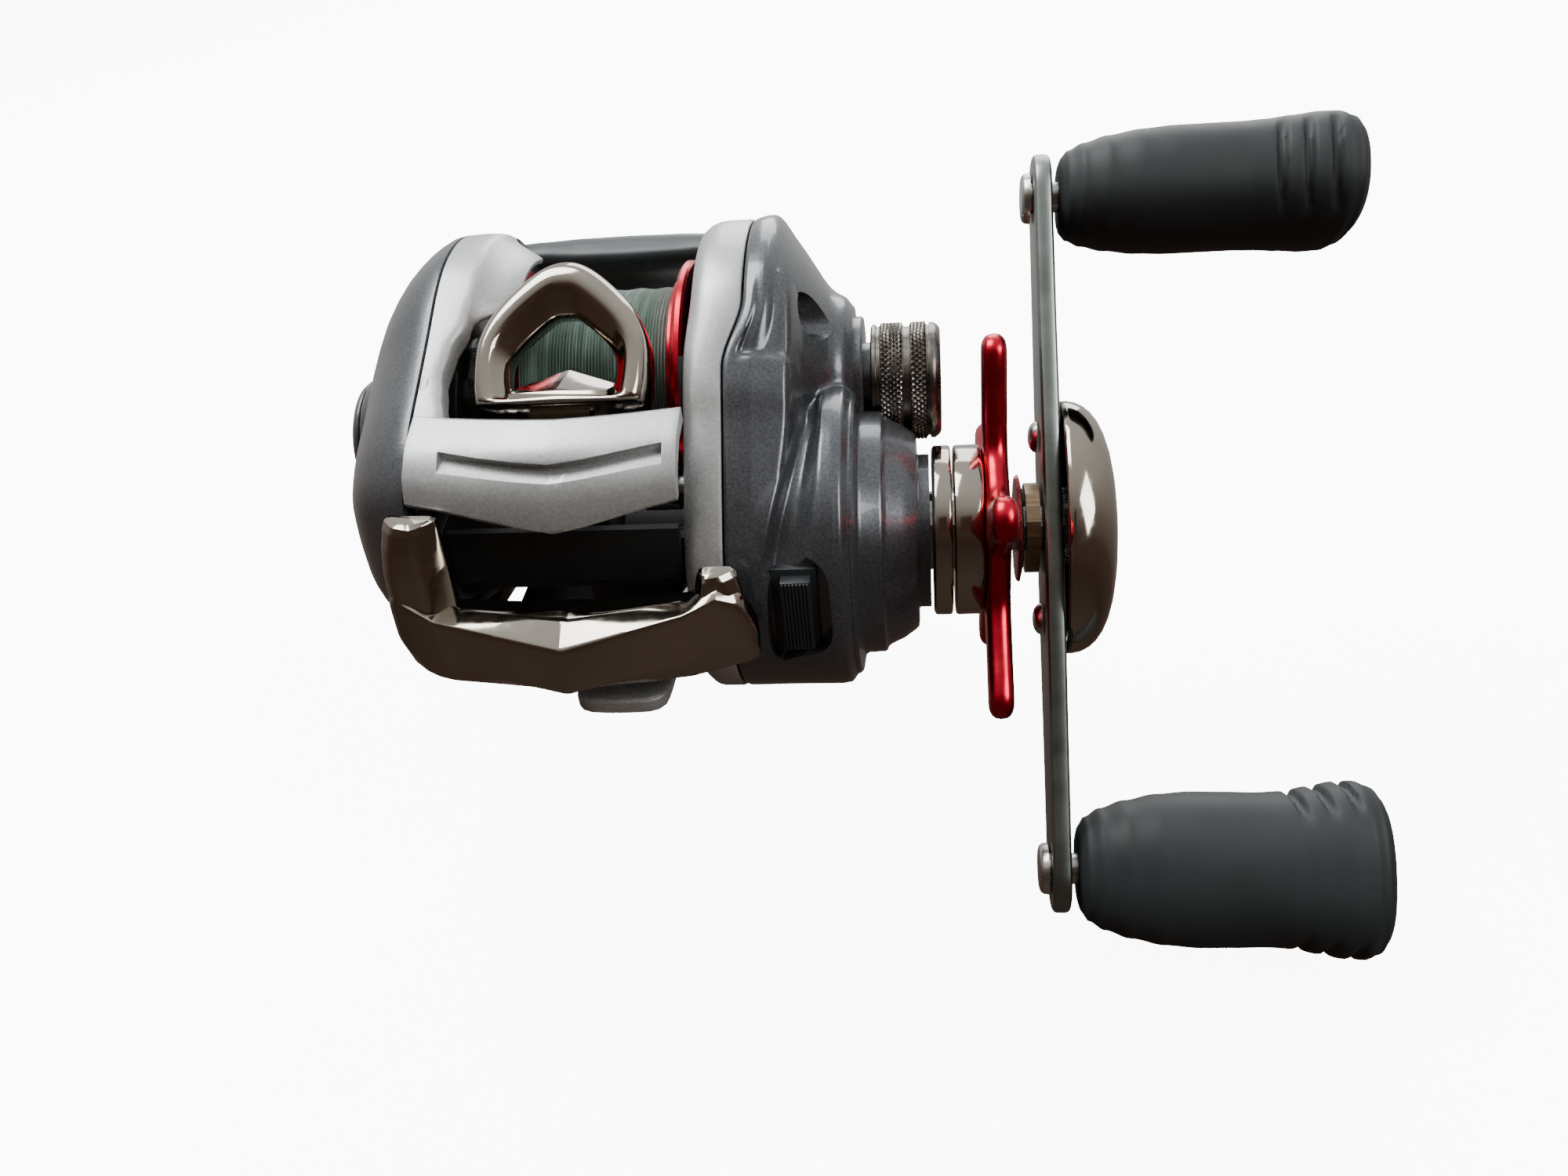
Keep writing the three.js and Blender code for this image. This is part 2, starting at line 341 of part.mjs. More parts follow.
put('shaft_bearing', ringX(13.5, 15.1, 3.3, 4.6, SHAFT, 22), STEEL);
put('worm_drive_gear', extX(gearOutline(WORM_DRIVE_T, SHAFT, toWorm), 15.9, 17.3, [circle(SHAFT, 3.3, 20)]), STEEL);
put('worm_gear', extX(gearOutline(WORM_T, WORM, toWorm + 180 + 180 / WORM_T), 15.9, 17.3, [circle(WORM, 1.9, 14)]), BLACK);
{
  const r = [];
  for (let i = 0; i < 12; i++) r.push([SHAFT[0] + 8.4 * Math.cos(i * 30 * D), SHAFT[1] + 8.4 * Math.sin(i * 30 * D)],
    [SHAFT[0] + 6.9 * Math.cos((i * 30 + 6) * D), SHAFT[1] + 6.9 * Math.sin((i * 30 + 6) * D)]);
  put('ratchet_wheel', extX(r, 17.7, 19.6, [circle(SHAFT, 3.3, 20)]), STEEL);
}
put('drag_washer', ringX(23.2, 24.1, 3.4, 13, SHAFT, 32), CARBON);
put('pressure_plate', ringX(24.4, 25.2, 3.3, 13, SHAFT, 32), STEEL);
put('clutch_sleeve', ringX(25.5, 47.9, 3.3, 5.0, SHAFT, 24), STEEL);
put('one_way_bearing', ringX(31.3, 38.6, 5.3, 8.4, SHAFT, 28), STEEL);

// ---- gear cover --------------------------------------------------------------
{
  const ring = (x, s, c = GEAR_C) => at(scaled(GEAR, c, s), x);
  const shell = loft([ring(GEAR_X, 1), ring(22.6, 0.985), ring(25.0, 0.93), ring(27.6, 0.84), ring(30.2, 0.70), ring(31.6, 0.56)]);
  let m = union(shell, cylX(19, 28.6, 18.95, SHAFT, 48), latheX([[20, 0], [20, 18.4], [31.0, 17.6], [33, 16.6], [33, 0]], SHAFT, 44),
    cylX(30, 36, 15.2, SHAFT, 40), cylX(30, 40.5, 13.3, SHAFT, 40), cylX(40, 42.0, 9.75, SHAFT, 32),
    cylX(24, 32.4, 9.6, [0, 0], 32));
  m = m.subtract(cylX(34.2, 50, 8.2, [0, 0], 32));
  m = m.add(cylX(26, 34, 8.6, [0, 0], 32)).add(cylX(26, 40.3, 5.2, [0, 0], 24));
  const cav = union(cylX(17, 23.9, 18.3, SHAFT, 48), cylX(17, 31.0, 15.0, SHAFT, 40), cylX(17, 30.2, 11.6, [0, 0], 36), cylX(17, 20, 5.9, WORM, 24),
    cylX(29, 41.7, 8.7, SHAFT, 28), cylX(40, 43, 5.4, SHAFT, 24), cylX(29, 45, 3.0, [0, 0], 20));
  m = m.subtract(cav);
  // cover screw's recess, and the window of the slide switch
  m = m.subtract(cylX(24.9, 40, 2.6, [7.2, 13.2], 18)).subtract(cylX(20, 40, 1.3, [7.2, 13.2], 12));
  m = m.subtract(box(23.0, 30.4, 30.8, 40, -20.2, -8.6));
  put('gear_cover', m, CHARCOAL);
}
put('cover_screw', union(cylX(25.2, 26.6, 2.2, [7.2, 13.2], 18), cylX(20.4, 25.4, 1.0, [7.2, 13.2], 12))
  .subtract(box(26.0, 27, 6.8, 7.6, 11.4, 15)).subtract(box(26.0, 27, 5.4, 9, 12.8, 13.6)), STEEL);
{
  let sw = union(box(23.3, 28.9, 31.2, 33.0, -19.8, -9.0), box(24.6, 28.0, 32.8, 35.2, -18.6, -10.0));
  for (let i = 0; i < 5; i++) sw = sw.subtract(box(24.9 + i * 0.65, 25.2 + i * 0.65, 34.7, 36, -19, -9));
  put('slide_switch', sw, BLACK);
}
put('cast_bearing', ringX(30.5, 31.9, 1.4, 2.7, [0, 0], 20), STEEL);
put('cast_knob', latheX([[43.8, 0], [43.8, 6.9], [43.1, CAST_R], [39.9, CAST_R], [39.7, 7.2], [39.2, 7.2], [39.0, CAST_R], [35.3, CAST_R], [34.9, 7.3], [34.9, 5.6], [40.7, 5.6], [40.7, 0]], [0, 0], 40), GUN);

// ---- drag star and neck -------------------------------------------------------
put('neck_collar', ringX(42.3, 44.7, 5.4, 10.8, SHAFT, 36), SMOKE);
put('drag_housing', latheX([[45.0, 5.4], [45.0, 10.8], [48.0, 10.8], [48.6, 10.3], [48.6, 5.4]], SHAFT, 36), SMOKE);
{
  // Five-armed star; arm angles are measured from straight up, leaning to the front.
  const a0 = 35, pts = [];
  const n = 5;
  for (let i = 0; i < n; i++) {
    const a = a0 + i * 72;
    const p = (r, da) => [SHAFT[0] + r * Math.cos((a + da) * D), SHAFT[1] + r * Math.sin((a + da) * D)];
    pts.push(p(10.4, -36), p(11.5, -17), p(17, -9), p(22, -7.2), p(23.7, -5), p(STAR_R, 0), p(23.7, 5), p(22, 7.2), p(17, 9), p(11.5, 17));
  }
  put('drag_star', extX(pts, 48.9, 52.4, [circle(SHAFT, 3.3, 20)]), RED);
}
put('spring_washer', latheX([[52.7, 3.3], [52.7, 6.6], [53.1, 6.9], [53.5, 5.2], [53.5, 3.3]], SHAFT, 24), STEEL);
put('spacer_washer', ringX(53.8, 55.5, 3.2, 5.7, SHAFT, 24), BRASS);

// ---- handle ----------------------------------------------------------------------
const AD = [0.628, -0.778];                // arm direction, from the upper knob to the lower one
const AN = [0.778, 0.628];                 // across the arm
const hp = (s, t) => [SHAFT[0] + AD[0] * s + AN[0] * t, SHAFT[1] + AD[1] * s + AN[1] * t];
const X_ARM = 55.9;
{
  const out = [], w = 5.2, we = 5.0;
  for (let i = 0; i <= 8; i++) { const a = (-90 + i * 22.5) * D; out.push(hp(ARM_R + 0.4 + we * Math.cos(a), we * Math.sin(a))); }
  out.push(hp(14, 5.9), hp(0, 6.2), hp(-14, 5.9));
  for (let i = 0; i <= 8; i++) { const a = (90 + i * 22.5) * D; out.push(hp(-ARM_R - 0.4 + we * Math.cos(a), we * Math.sin(a))); }
  out.push(hp(-14, -5.9), hp(0, -6.2), hp(14, -5.9));
  const holes = [circle(SHAFT, 3.1, 18), circle(hp(ARM_R, 0), 2.2, 14), circle(hp(-ARM_R, 0), 2.2, 14), circle(hp(11.6, 0), 1.3, 12), circle(hp(-11.6, 0), 1.3, 12)];
  put('handle_arm', extX(out, X_ARM, X_ARM + ARM_T, holes), ARMC);
}
{
  const hex = Array.from({ length: 6 }, (_, i) => [SHAFT[0] + 5 * Math.cos(i * 60 * D), SHAFT[1] + 5 * Math.sin(i * 60 * D)]);
  put('handle_nut', extX(hex, 58.5, 61.8, [circle(SHAFT, 3.1, 18)]), STEEL);
  const oval = (x, a, b) => Array.from({ length: 20 }, (_, i) => { const q = i / 20 * 2 * Math.PI; return [x, ...hp(a * Math.cos(q), b * Math.sin(q))]; });
  const dome = loft([oval(58.5, 16, 9.6), oval(60.2, 15.8, 9.4), oval(62.2, 14.6, 8.7), oval(63.8, 12.2, 7.4), oval(64.9, 8, 5.2), oval(65.2, 4.4, 3.0)]);
  const hollow = loft([oval(57, 14.8, 8.4), oval(60.2, 14.6, 8.2), oval(62.2, 12.6, 6.9), oval(63.2, 9, 5.2)]);
  put('nut_cover', dome.subtract(hollow), SMOKE);
}
for (const [k, s] of [['a', -11.6], ['b', 11.6]]) {
  put('arm_rivet_' + k, union(latheX([[54.7, 0], [54.7, 1.2], [55.2, 2.0], [55.65, 2.0], [55.65, 0]], hp(s, 0), 16), cylX(55.5, 58.3, 1.0, hp(s, 0), 12)), STEEL);
}
// Knobs: flattened soft grips on fixed pins, each turning on its own pin.
function knob(tag, s, turn) {
  const c = hp(s, 0), L0 = 59.2, L1 = L0 + KNOB_L;
  put('knob_pin_' + tag, latheX([[54.5, 0], [54.5, 2.3], [54.9, 3.2], [55.6, 3.2], [55.6, 1.9], [91.0, 1.9], [91.0, 0]], c, 18), STEEL);
  const prof = [[0, 4.5, 4.1], [0.8, 6.4, 5.4], [3, 7.9, 6.4], [7, 8.9, 7.0], [12, 9.3, 7.3], [18, 9.25, 7.4], [23, 9.35, 7.5], [28, 10.2, 7.7], [32, 10.8, 7.9], [34.6, 10.2, 7.5], [36.2, 8.5, 6.3]];
  const ca = Math.cos(turn * D), sa = Math.sin(turn * D);
  const ring = ([dx, a, b]) => Array.from({ length: 18 }, (_, i) => {
    const q = i / 18 * 2 * Math.PI, u = a * Math.cos(q), v = b * Math.sin(q);
    return [L0 + dx * KNOB_L / 36.2, c[0] + u * ca - v * sa, c[1] + u * sa + v * ca];
  });
  put('knob_' + tag, loft(prof.map(ring)).subtract(cylX(58, 93.6, 2.3, c, 18)).subtract(cylX(93.5, 97, 4.6, c, 20)), RUBBER);
  put('knob_cap_' + tag, latheX([[93.9, 0], [93.9, 4.2], [95.4, 4.2], [95.8, 3.4], [95.8, 0]], c, 20), GREY);
}
// turn: direction of the wide side in the forward-up plane
knob('upper', -ARM_R, 36);
knob('lower', ARM_R, 126);

export default reel;
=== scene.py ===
"""Looks of the low-profile baitcasting reel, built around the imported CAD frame.
Lengths below are in millimetres from the middle of the spool as (x, forward, up);
W() turns them into the shared frame in metres."""
import bpy, bmesh, math, json, random
from mathutils import Vector, Matrix


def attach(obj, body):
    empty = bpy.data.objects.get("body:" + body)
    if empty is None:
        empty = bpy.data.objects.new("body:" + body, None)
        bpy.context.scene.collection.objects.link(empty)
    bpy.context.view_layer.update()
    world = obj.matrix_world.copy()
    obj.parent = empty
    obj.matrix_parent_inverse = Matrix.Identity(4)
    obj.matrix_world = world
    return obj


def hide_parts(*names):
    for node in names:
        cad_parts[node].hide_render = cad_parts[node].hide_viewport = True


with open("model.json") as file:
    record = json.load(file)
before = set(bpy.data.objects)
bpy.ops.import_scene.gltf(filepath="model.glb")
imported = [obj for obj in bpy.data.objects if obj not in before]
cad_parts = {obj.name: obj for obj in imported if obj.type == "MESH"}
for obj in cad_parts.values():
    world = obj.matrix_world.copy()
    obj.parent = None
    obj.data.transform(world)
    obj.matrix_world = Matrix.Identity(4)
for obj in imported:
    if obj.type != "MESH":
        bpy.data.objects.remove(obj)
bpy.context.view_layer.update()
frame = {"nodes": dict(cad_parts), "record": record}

D = math.pi / 180
SH = (15.0, -13.83)
WORM = (21.42, -2.64)
AD = (0.628, -0.778)
AN = (0.778, 0.628)


def W(x, f, z):
    return Vector(((x - 4.3) * 0.001, -f * 0.001, (z + 24.0) * 0.001))


def hp(s, t=0.0):
    return (SH[0] + AD[0] * s + AN[0] * t, SH[1] + AD[1] * s + AN[1] * t)


# ------------------------------------------------------------------ materials
def new_mat(name):
    m = bpy.data.materials.new(name)
    m.use_nodes = True
    nt = m.node_tree
    for n in list(nt.nodes):
        nt.nodes.remove(n)
    out = nt.nodes.new("ShaderNodeOutputMaterial")
    b = nt.nodes.new("ShaderNodeBsdfPrincipled")
    nt.links.new(b.outputs[0], out.inputs[0])
    return m, nt, b


def coords(nt, scale=(1, 1, 1)):
    tc = nt.nodes.new("ShaderNodeTexCoord")
    mp = nt.nodes.new("ShaderNodeMapping")
    mp.inputs["Scale"].default_value = scale
    nt.links.new(tc.outputs["Object"], mp.inputs[0])
    return mp.outputs[0]


def noise(nt, vec, scale, detail=3.0, rough=0.5):
    n = nt.nodes.new("ShaderNodeTexNoise")
    n.inputs["Scale"].default_value = scale
    n.inputs["Detail"].default_value = detail
    n.inputs["Roughness"].default_value = rough
    nt.links.new(vec, n.inputs["Vector"])
    return n.outputs[0]


def ramp(nt, fac, stops):
    r = nt.nodes.new("ShaderNodeValToRGB")
    e = r.color_ramp.elements
    while len(e) > len(stops):
        e.remove(e[-1])
    while len(e) < len(stops):
        e.new(0.5)
    for k, (p, c) in zip(e, stops):
        k.position = p
        k.color = (c[0], c[1], c[2], 1) if isinstance(c, (tuple, list)) else (c, c, c, 1)
    nt.links.new(fac, r.inputs[0])
    return r.outputs[0]


def bump(nt, b, h, strength, dist):
    n = nt.nodes.new("ShaderNodeBump")
    n.inputs["Strength"].default_value = strength
    n.inputs["Distance"].default_value = dist
    nt.links.new(h, n.inputs["Height"])
    nt.links.new(n.outputs[0], b.inputs["Normal"])


def paint(name, dark, light, metallic, rough, flake=2600, coat=0.0, flake_amt=0.12):
    m, nt, b = new_mat(name)
    v = coords(nt)
    fine = noise(nt, v, flake, 1.0)
    big = noise(nt, v, 90, 3.0)
    mix = nt.nodes.new("ShaderNodeMath"); mix.operation = "MULTIPLY_ADD"
    nt.links.new(fine, mix.inputs[0]); mix.inputs[1].default_value = flake_amt * 6
    add = nt.nodes.new("ShaderNodeMath"); add.operation = "MULTIPLY"
    nt.links.new(big, add.inputs[0]); add.inputs[1].default_value = 0.25
    nt.links.new(add.outputs[0], mix.inputs[2])
    nt.links.new(ramp(nt, mix.outputs[0], [(0.2, dark), (0.75, light)]), b.inputs["Base Color"])
    b.inputs["Metallic"].default_value = metallic
    nt.links.new(ramp(nt, big, [(0.3, rough * 0.88), (0.7, min(1, rough * 1.15))]), b.inputs["Roughness"])
    b.inputs["Coat Weight"].default_value = coat
    b.inputs["Coat Roughness"].default_value = 0.08
    bump(nt, b, fine, 0.12, 0.00003)
    return m


def chrome(name, dark, light, rough=0.07):
    m, nt, b = new_mat(name)
    v = coords(nt)
    big = noise(nt, v, 60, 4.0)
    fine = noise(nt, v, 900, 2.0)
    nt.links.new(ramp(nt, big, [(0.3, dark), (0.7, light)]), b.inputs["Base Color"])
    b.inputs["Metallic"].default_value = 1.0
    nt.links.new(ramp(nt, fine, [(0.3, rough * 0.7), (0.75, rough * 1.7)]), b.inputs["Roughness"])
    bump(nt, b, big, 0.05, 0.0001)
    return m


def metal(name, dark, light, rough, stretch=(1, 40, 40), scale=60, metallic=1.0, bumpy=0.15):
    m, nt, b = new_mat(name)
    v = coords(nt, stretch)
    n = noise(nt, v, scale, 4.0, 0.6)
    nt.links.new(ramp(nt, n, [(0.3, dark), (0.7, light)]), b.inputs["Base Color"])
    b.inputs["Metallic"].default_value = metallic
    nt.links.new(ramp(nt, n, [(0.3, rough * 0.8), (0.7, min(1, rough * 1.2))]), b.inputs["Roughness"])
    bump(nt, b, n, bumpy, 0.00002)
    return m


def plastic(name, dark, light, rough, grain=1500, bumpy=0.2, sheen=0.0):
    m, nt, b = new_mat(name)
    v = coords(nt)
    n = noise(nt, v, grain, 2.0)
    big = noise(nt, v, 70, 4.0)
    nt.links.new(ramp(nt, big, [(0.3, dark), (0.7, light)]), b.inputs["Base Color"])
    nt.links.new(ramp(nt, big, [(0.3, rough * 0.9), (0.7, min(1, rough * 1.12))]), b.inputs["Roughness"])
    b.inputs["Sheen Weight"].default_value = sheen
    bump(nt, b, n, bumpy, 0.00004)
    return m


def braid(name):
    m, nt, b = new_mat(name)
    v = coords(nt, (1, 1, 1))
    streak = noise(nt, coords(nt, (900, 60, 60)), 1.0, 3.0, 0.6)
    patch = noise(nt, v, 160, 3.0)
    mul = nt.nodes.new("ShaderNodeMath"); mul.operation = "MULTIPLY_ADD"
    nt.links.new(streak, mul.inputs[0]); mul.inputs[1].default_value = 0.75
    h = nt.nodes.new("ShaderNodeMath"); h.operation = "MULTIPLY"
    nt.links.new(patch, h.inputs[0]); h.inputs[1].default_value = 0.3
    nt.links.new(h.outputs[0], mul.inputs[2])
    nt.links.new(ramp(nt, mul.outputs[0], [(0.3, (0.018, 0.04, 0.03)), (0.5, (0.05, 0.1, 0.075)), (0.68, (0.15, 0.22, 0.18)), (0.85, (0.33, 0.4, 0.36))]), b.inputs["Base Color"])
    b.inputs["Roughness"].default_value = 0.62
    b.inputs["Sheen Weight"].default_value = 0.2
    bump(nt, b, noise(nt, coords(nt, (3200, 900, 900)), 1.0, 2.0), 0.5, 0.00006)
    return m


M_SILVER = paint("silver_paint", (0.37, 0.385, 0.385), (0.55, 0.57, 0.565), 0.55, 0.4, coat=0.15)
M_CHAR = paint("charcoal_paint", (0.046, 0.050, 0.056), (0.122, 0.131, 0.144), 0.62, 0.3, flake=3200, coat=0.45, flake_amt=0.13)
M_CHROME = chrome("smoked_chrome", (0.35, 0.315, 0.27), (0.45, 0.41, 0.355), 0.08)
M_RED = metal("red_anodised", (0.50, 0.012, 0.03), (0.62, 0.022, 0.048), 0.27, (1, 6, 6), 40, bumpy=0.05)
M_BLACK = plastic("black_plastic", (0.012, 0.016, 0.018), (0.022, 0.028, 0.031), 0.42)
# painted shade: black plastic darkened to near-black so the inner parts sink into the shaded interior; partly the real
# black of the plastic, partly painted shade
M_INNER_BLACK_SHADE = plastic("inner_black_painted_shade", (0.004, 0.005, 0.006), (0.008, 0.010, 0.011), 0.55)
M_BAR = plastic("thumb_plastic", (0.024, 0.032, 0.035), (0.034, 0.045, 0.049), 0.4)
M_RUBBER = plastic("soft_rubber", (0.011, 0.0145, 0.016), (0.017, 0.0215, 0.024), 0.6, 2600, 0.25, 0.0)
M_STEEL = metal("machined_steel", (0.42, 0.42, 0.41), (0.62, 0.62, 0.6), 0.28)
M_GUN = metal("gunmetal", (0.13, 0.12, 0.11), (0.24, 0.22, 0.2), 0.3, (1, 20, 20), 40)
M_ARM = metal("arm_gunmetal", (0.2, 0.23, 0.215), (0.27, 0.305, 0.29), 0.34, (1, 3, 3), 40, bumpy=0.05)
M_BRASS = metal("brass", (0.16, 0.11, 0.07), (0.26, 0.19, 0.12), 0.32)
M_LINE = braid("braided_line")
M_GREY = plastic("grey_plastic", (0.11, 0.12, 0.12), (0.16, 0.17, 0.17), 0.4)
M_CARBON = plastic("carbon_fibre", (0.01, 0.01, 0.011), (0.02, 0.02, 0.021), 0.6)
# the CAD black plastic parts take the near-black painted-shade material, not the plain black plastic
SLOT = {"silver_paint": M_SILVER, "charcoal_paint": M_CHAR, "smoked_chrome": M_CHROME, "red_anodised": M_RED,
        "black_plastic": M_INNER_BLACK_SHADE, "soft_rubber": M_RUBBER, "steel": M_STEEL, "gunmetal": M_GUN, "arm_gunmetal": M_ARM,
        "brass": M_BRASS, "line": M_LINE, "grey_plastic": M_GREY, "carbon": M_CARBON}
slot_of = {s["node"]: s["material_slot"] for s in frame["record"]["subparts"]}
for n, o in frame["nodes"].items():
    o.data.materials.clear()
    o.data.materials.append(SLOT[slot_of[n]])


# ------------------------------------------------------------------ mesh tools
def finish_mesh(name, bm, mats, body, node=None, angle=38, bevel=0.0, seg=3, sub=0, weld=0.0):
    me = bpy.data.meshes.new(name)
    if weld:
        bmesh.ops.remove_doubles(bm, verts=bm.verts, dist=weld)
    bmesh.ops.recalc_face_normals(bm, faces=bm.faces)
    bm.to_mesh(me)
    bm.free()
    ob = bpy.data.objects.new(name, me)
    bpy.context.scene.collection.objects.link(ob)
    for m in (mats if isinstance(mats, (list, tuple)) else [mats]):
        me.materials.append(m)
    if bevel:
        b = ob.modifiers.new("b", "BEVEL")
        b.width = bevel * 0.001
        b.segments = seg
        b.limit_method = "ANGLE"
        b.angle_limit = 32 * D
        b.harden_normals = False
    if sub:
        s = ob.modifiers.new("s", "SUBSURF")
        s.levels = s.render_levels = sub
    apply_mods(ob)
    shade(ob, angle)
    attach(ob, body)
    if node:
        for k in ([node] if isinstance(node, str) else node):
            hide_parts(k)
    return ob


def apply_mods(ob):
    if not ob.modifiers:
        return
    bpy.context.view_layer.update()
    dg = bpy.context.evaluated_depsgraph_get()
    me = bpy.data.meshes.new_from_object(ob.evaluated_get(dg))
    ob.modifiers.clear()
    ob.data = me


def shade(ob, angle):
    me = ob.data
    for p in me.polygons:
        p.use_smooth = True
    me.set_sharp_from_angle(angle=angle * D)


def cut(ob, *cutters):
    """Takes the cutters out of ob and removes them."""
    for c in cutters:
        m = ob.modifiers.new("c", "BOOLEAN")
        m.operation = "DIFFERENCE"
        m.solver = "EXACT"
        m.object = c
        apply_mods(ob)
        bpy.data.objects.remove(c)
    return ob


def raw(name, bm):
    bmesh.ops.recalc_face_normals(bm, faces=bm.faces)
    me = bpy.data.meshes.new(name)
    bm.to_mesh(me)
    bm.free()
    ob = bpy.data.objects.new(name, me)
    bpy.context.scene.collection.objects.link(ob)
    return ob


def add_loft(bm, rings, closed=True, caps=True, mat=0):
    vs = [[bm.verts.new(W(*p)) for p in r] for r in rings]
    n = len(rings[0])
    for a, b in zip(vs, vs[1:]):
        for i in range(n if closed else n - 1):
            j = (i + 1) % n
            f = bm.faces.new((a[i], a[j], b[j], b[i]))
            f.material_index = mat
    if caps:
        for r in (vs[0], vs[-1]):
            try:
                bm.faces.new(r).material_index = mat
            except ValueError:
                pass
    return vs


def add_lathe(bm, prof, c=(0, 0), seg=96, mat=0, closed=None):
    """Profile of (x, radius) turned about the X direction through c."""
    if closed is None:
        closed = prof[0][1] > 1e-6 or prof[-1][1] > 1e-6
    cols = []
    for i in range(seg):
        a = 2 * math.pi * i / seg
        ca, sa = math.cos(a), math.sin(a)
        cols.append([(x, c[0] + r * ca, c[1] + r * sa) for x, r in prof])
    n = len(prof)
    grid = []
    axis_v = {}
    for i in range(seg):
        col = []
        for k in range(n):
            if prof[k][1] < 1e-6:
                if k not in axis_v:
                    axis_v[k] = bm.verts.new(W(prof[k][0], c[0], c[1]))
                col.append(axis_v[k])
            else:
                col.append(bm.verts.new(W(*cols[i][k])))
        grid.append(col)
    for i in range(seg):
        j = (i + 1) % seg
        for k in range(n if closed else n - 1):
            m = (k + 1) % n
            q = [grid[i][k], grid[i][m], grid[j][m], grid[j][k]]
            u = []
            for v in q:
                if v not in u:
                    u.append(v)
            if len(u) >= 3:
                bm.faces.new(u).material_index = mat


def add_box(bm, x0, x1, f0, f1, z0, z1, mat=0):
    c = [(x, f, z) for x in (x0, x1) for f in (f0, f1) for z in (z0, z1)]
    v = [bm.verts.new(W(*p)) for p in c]
    for q in ((0, 1, 3, 2), (4, 6, 7, 5), (0, 4, 5, 1), (2, 3, 7, 6), (0, 2, 6, 4), (1, 5, 7, 3)):
        bm.faces.new([v[i] for i in q]).material_index = mat


def add_ext(bm, pts, x0, x1, mat=0):
    """Outline of (forward, up) points run from x0 to x1."""
    return add_loft(bm, [[(x0, f, z) for f, z in pts], [(x1, f, z) for f, z in pts]], mat=mat)


def arc(c, r, a0, a1, n):
    return [(c[0] + r * math.cos((a0 + (a1 - a0) * i / (n - 1)) * D), c[1] + r * math.sin((a0 + (a1 - a0) * i / (n - 1)) * D)) for i in range(n)]


def circle(c, r, n):
    return [(c[0] + r * math.cos(2 * math.pi * i / n), c[1] + r * math.sin(2 * math.pi * i / n)) for i in range(n)]


def smooth(pts, n, closed=True):
    """Catmull-Rom curve through pts, resampled to n points evenly along its length."""
    P = [Vector(p) for p in pts]
    m = len(P)
    out = []
    spans = m if closed else m - 1
    for i in range(spans):
        p0 = P[(i - 1) % m] if closed or i > 0 else P[0] * 2 - P[1]
        p1, p2 = P[i], P[(i + 1) % m]
        p3 = P[(i + 2) % m] if closed or i + 2 < m else P[-1] * 2 - P[-2]
        for k in range(16):
            t = k / 16
            out.append(0.5 * ((2 * p1) + (p2 - p0) * t + (2 * p0 - 5 * p1 + 4 * p2 - p3) * t * t + (3 * p1 - p0 - 3 * p2 + p3) * t ** 3))
    if not closed:
        out.append(P[-1])
    L = [0]
    loop = out + ([out[0]] if closed else [])
    for a, b in zip(loop, loop[1:]):
        L.append(L[-1] + (b - a).length)
    res = []
    j = 0
    for i in range(n):
        t = L[-1] * i / (n if closed else n - 1)
        while j < len(L) - 2 and L[j + 1] < t:
            j += 1
        q = (t - L[j]) / max(1e-9, L[j + 1] - L[j])
        res.append(tuple(loop[j].lerp(loop[j + 1], min(1, max(0, q)))))
    return res


def smoothstep(a, b, x):
    t = max(0.0, min(1.0, (x - a) / (b - a)))
    return t * t * (3 - 2 * t)


def lerp_tab(tab, x):
    """Smooth interpolation in a table of (x, values...) rows."""
    if x <= tab[0][0]:
        return tab[0][1:]
    for a, b in zip(tab, tab[1:]):
        if x <= b[0]:
            t = (x - a[0]) / (b[0] - a[0])
            t = t * t * (3 - 2 * t)
            return tuple(u + (v - u) * t for u, v in zip(a[1:], b[1:]))
    return tab[-1][1:]


def lin_tab(tab, x):
    if x <= tab[0][0]:
        return tab[0][1]
    for a, b in zip(tab, tab[1:]):
        if x <= b[0]:
            return a[1] + (b[1] - a[1]) * (x - a[0]) / (b[0] - a[0])
    return tab[-1][1]


PALM = arc((0, 0), 21.4, 208, 62, 12) + [(15.3, 16.0), (21, 13), (26, 10.4), (30.5, 7.4), (34.0, 3.5), (35.4, -2),
        (35.7, -8), (35.0, -14), (31.2, -19.4), (24, -22.2), (10, -23.2), (-4, -22.6), (-13, -18.6)]
GEAR = arc((0, 0), 21.5, 200, 54, 12) + [(19.6, 11.2), (23, 7), (26.5, 2.8), (30.3, -2), (33.3, -6.6)] + \
    arc(SH, 19.4, 6, -138, 12) + [(-9, -22.2), (-16.6, -14.8)]
PALM_S, GEAR_S = smooth(PALM, 160), smooth(GEAR, 160)


def scaled(pts, c, s):
    return [(c[0] + (f - c[0]) * s, c[1] + (z - c[1]) * s) for f, z in pts]


def offset(pts, d):
    """Moves a closed outline in by d along its normals."""
    n = len(pts)
    area = sum(pts[i][0] * pts[(i + 1) % n][1] - pts[(i + 1) % n][0] * pts[i][1] for i in range(n))
    s = 1 if area > 0 else -1
    out = []
    for i in range(n):
        a, b = pts[i - 1], pts[(i + 1) % n]
        t = Vector((b[0] - a[0], b[1] - a[1]))
        t.normalize()
        out.append((pts[i][0] - t.y * d * s, pts[i][1] + t.x * d * s))
    return out


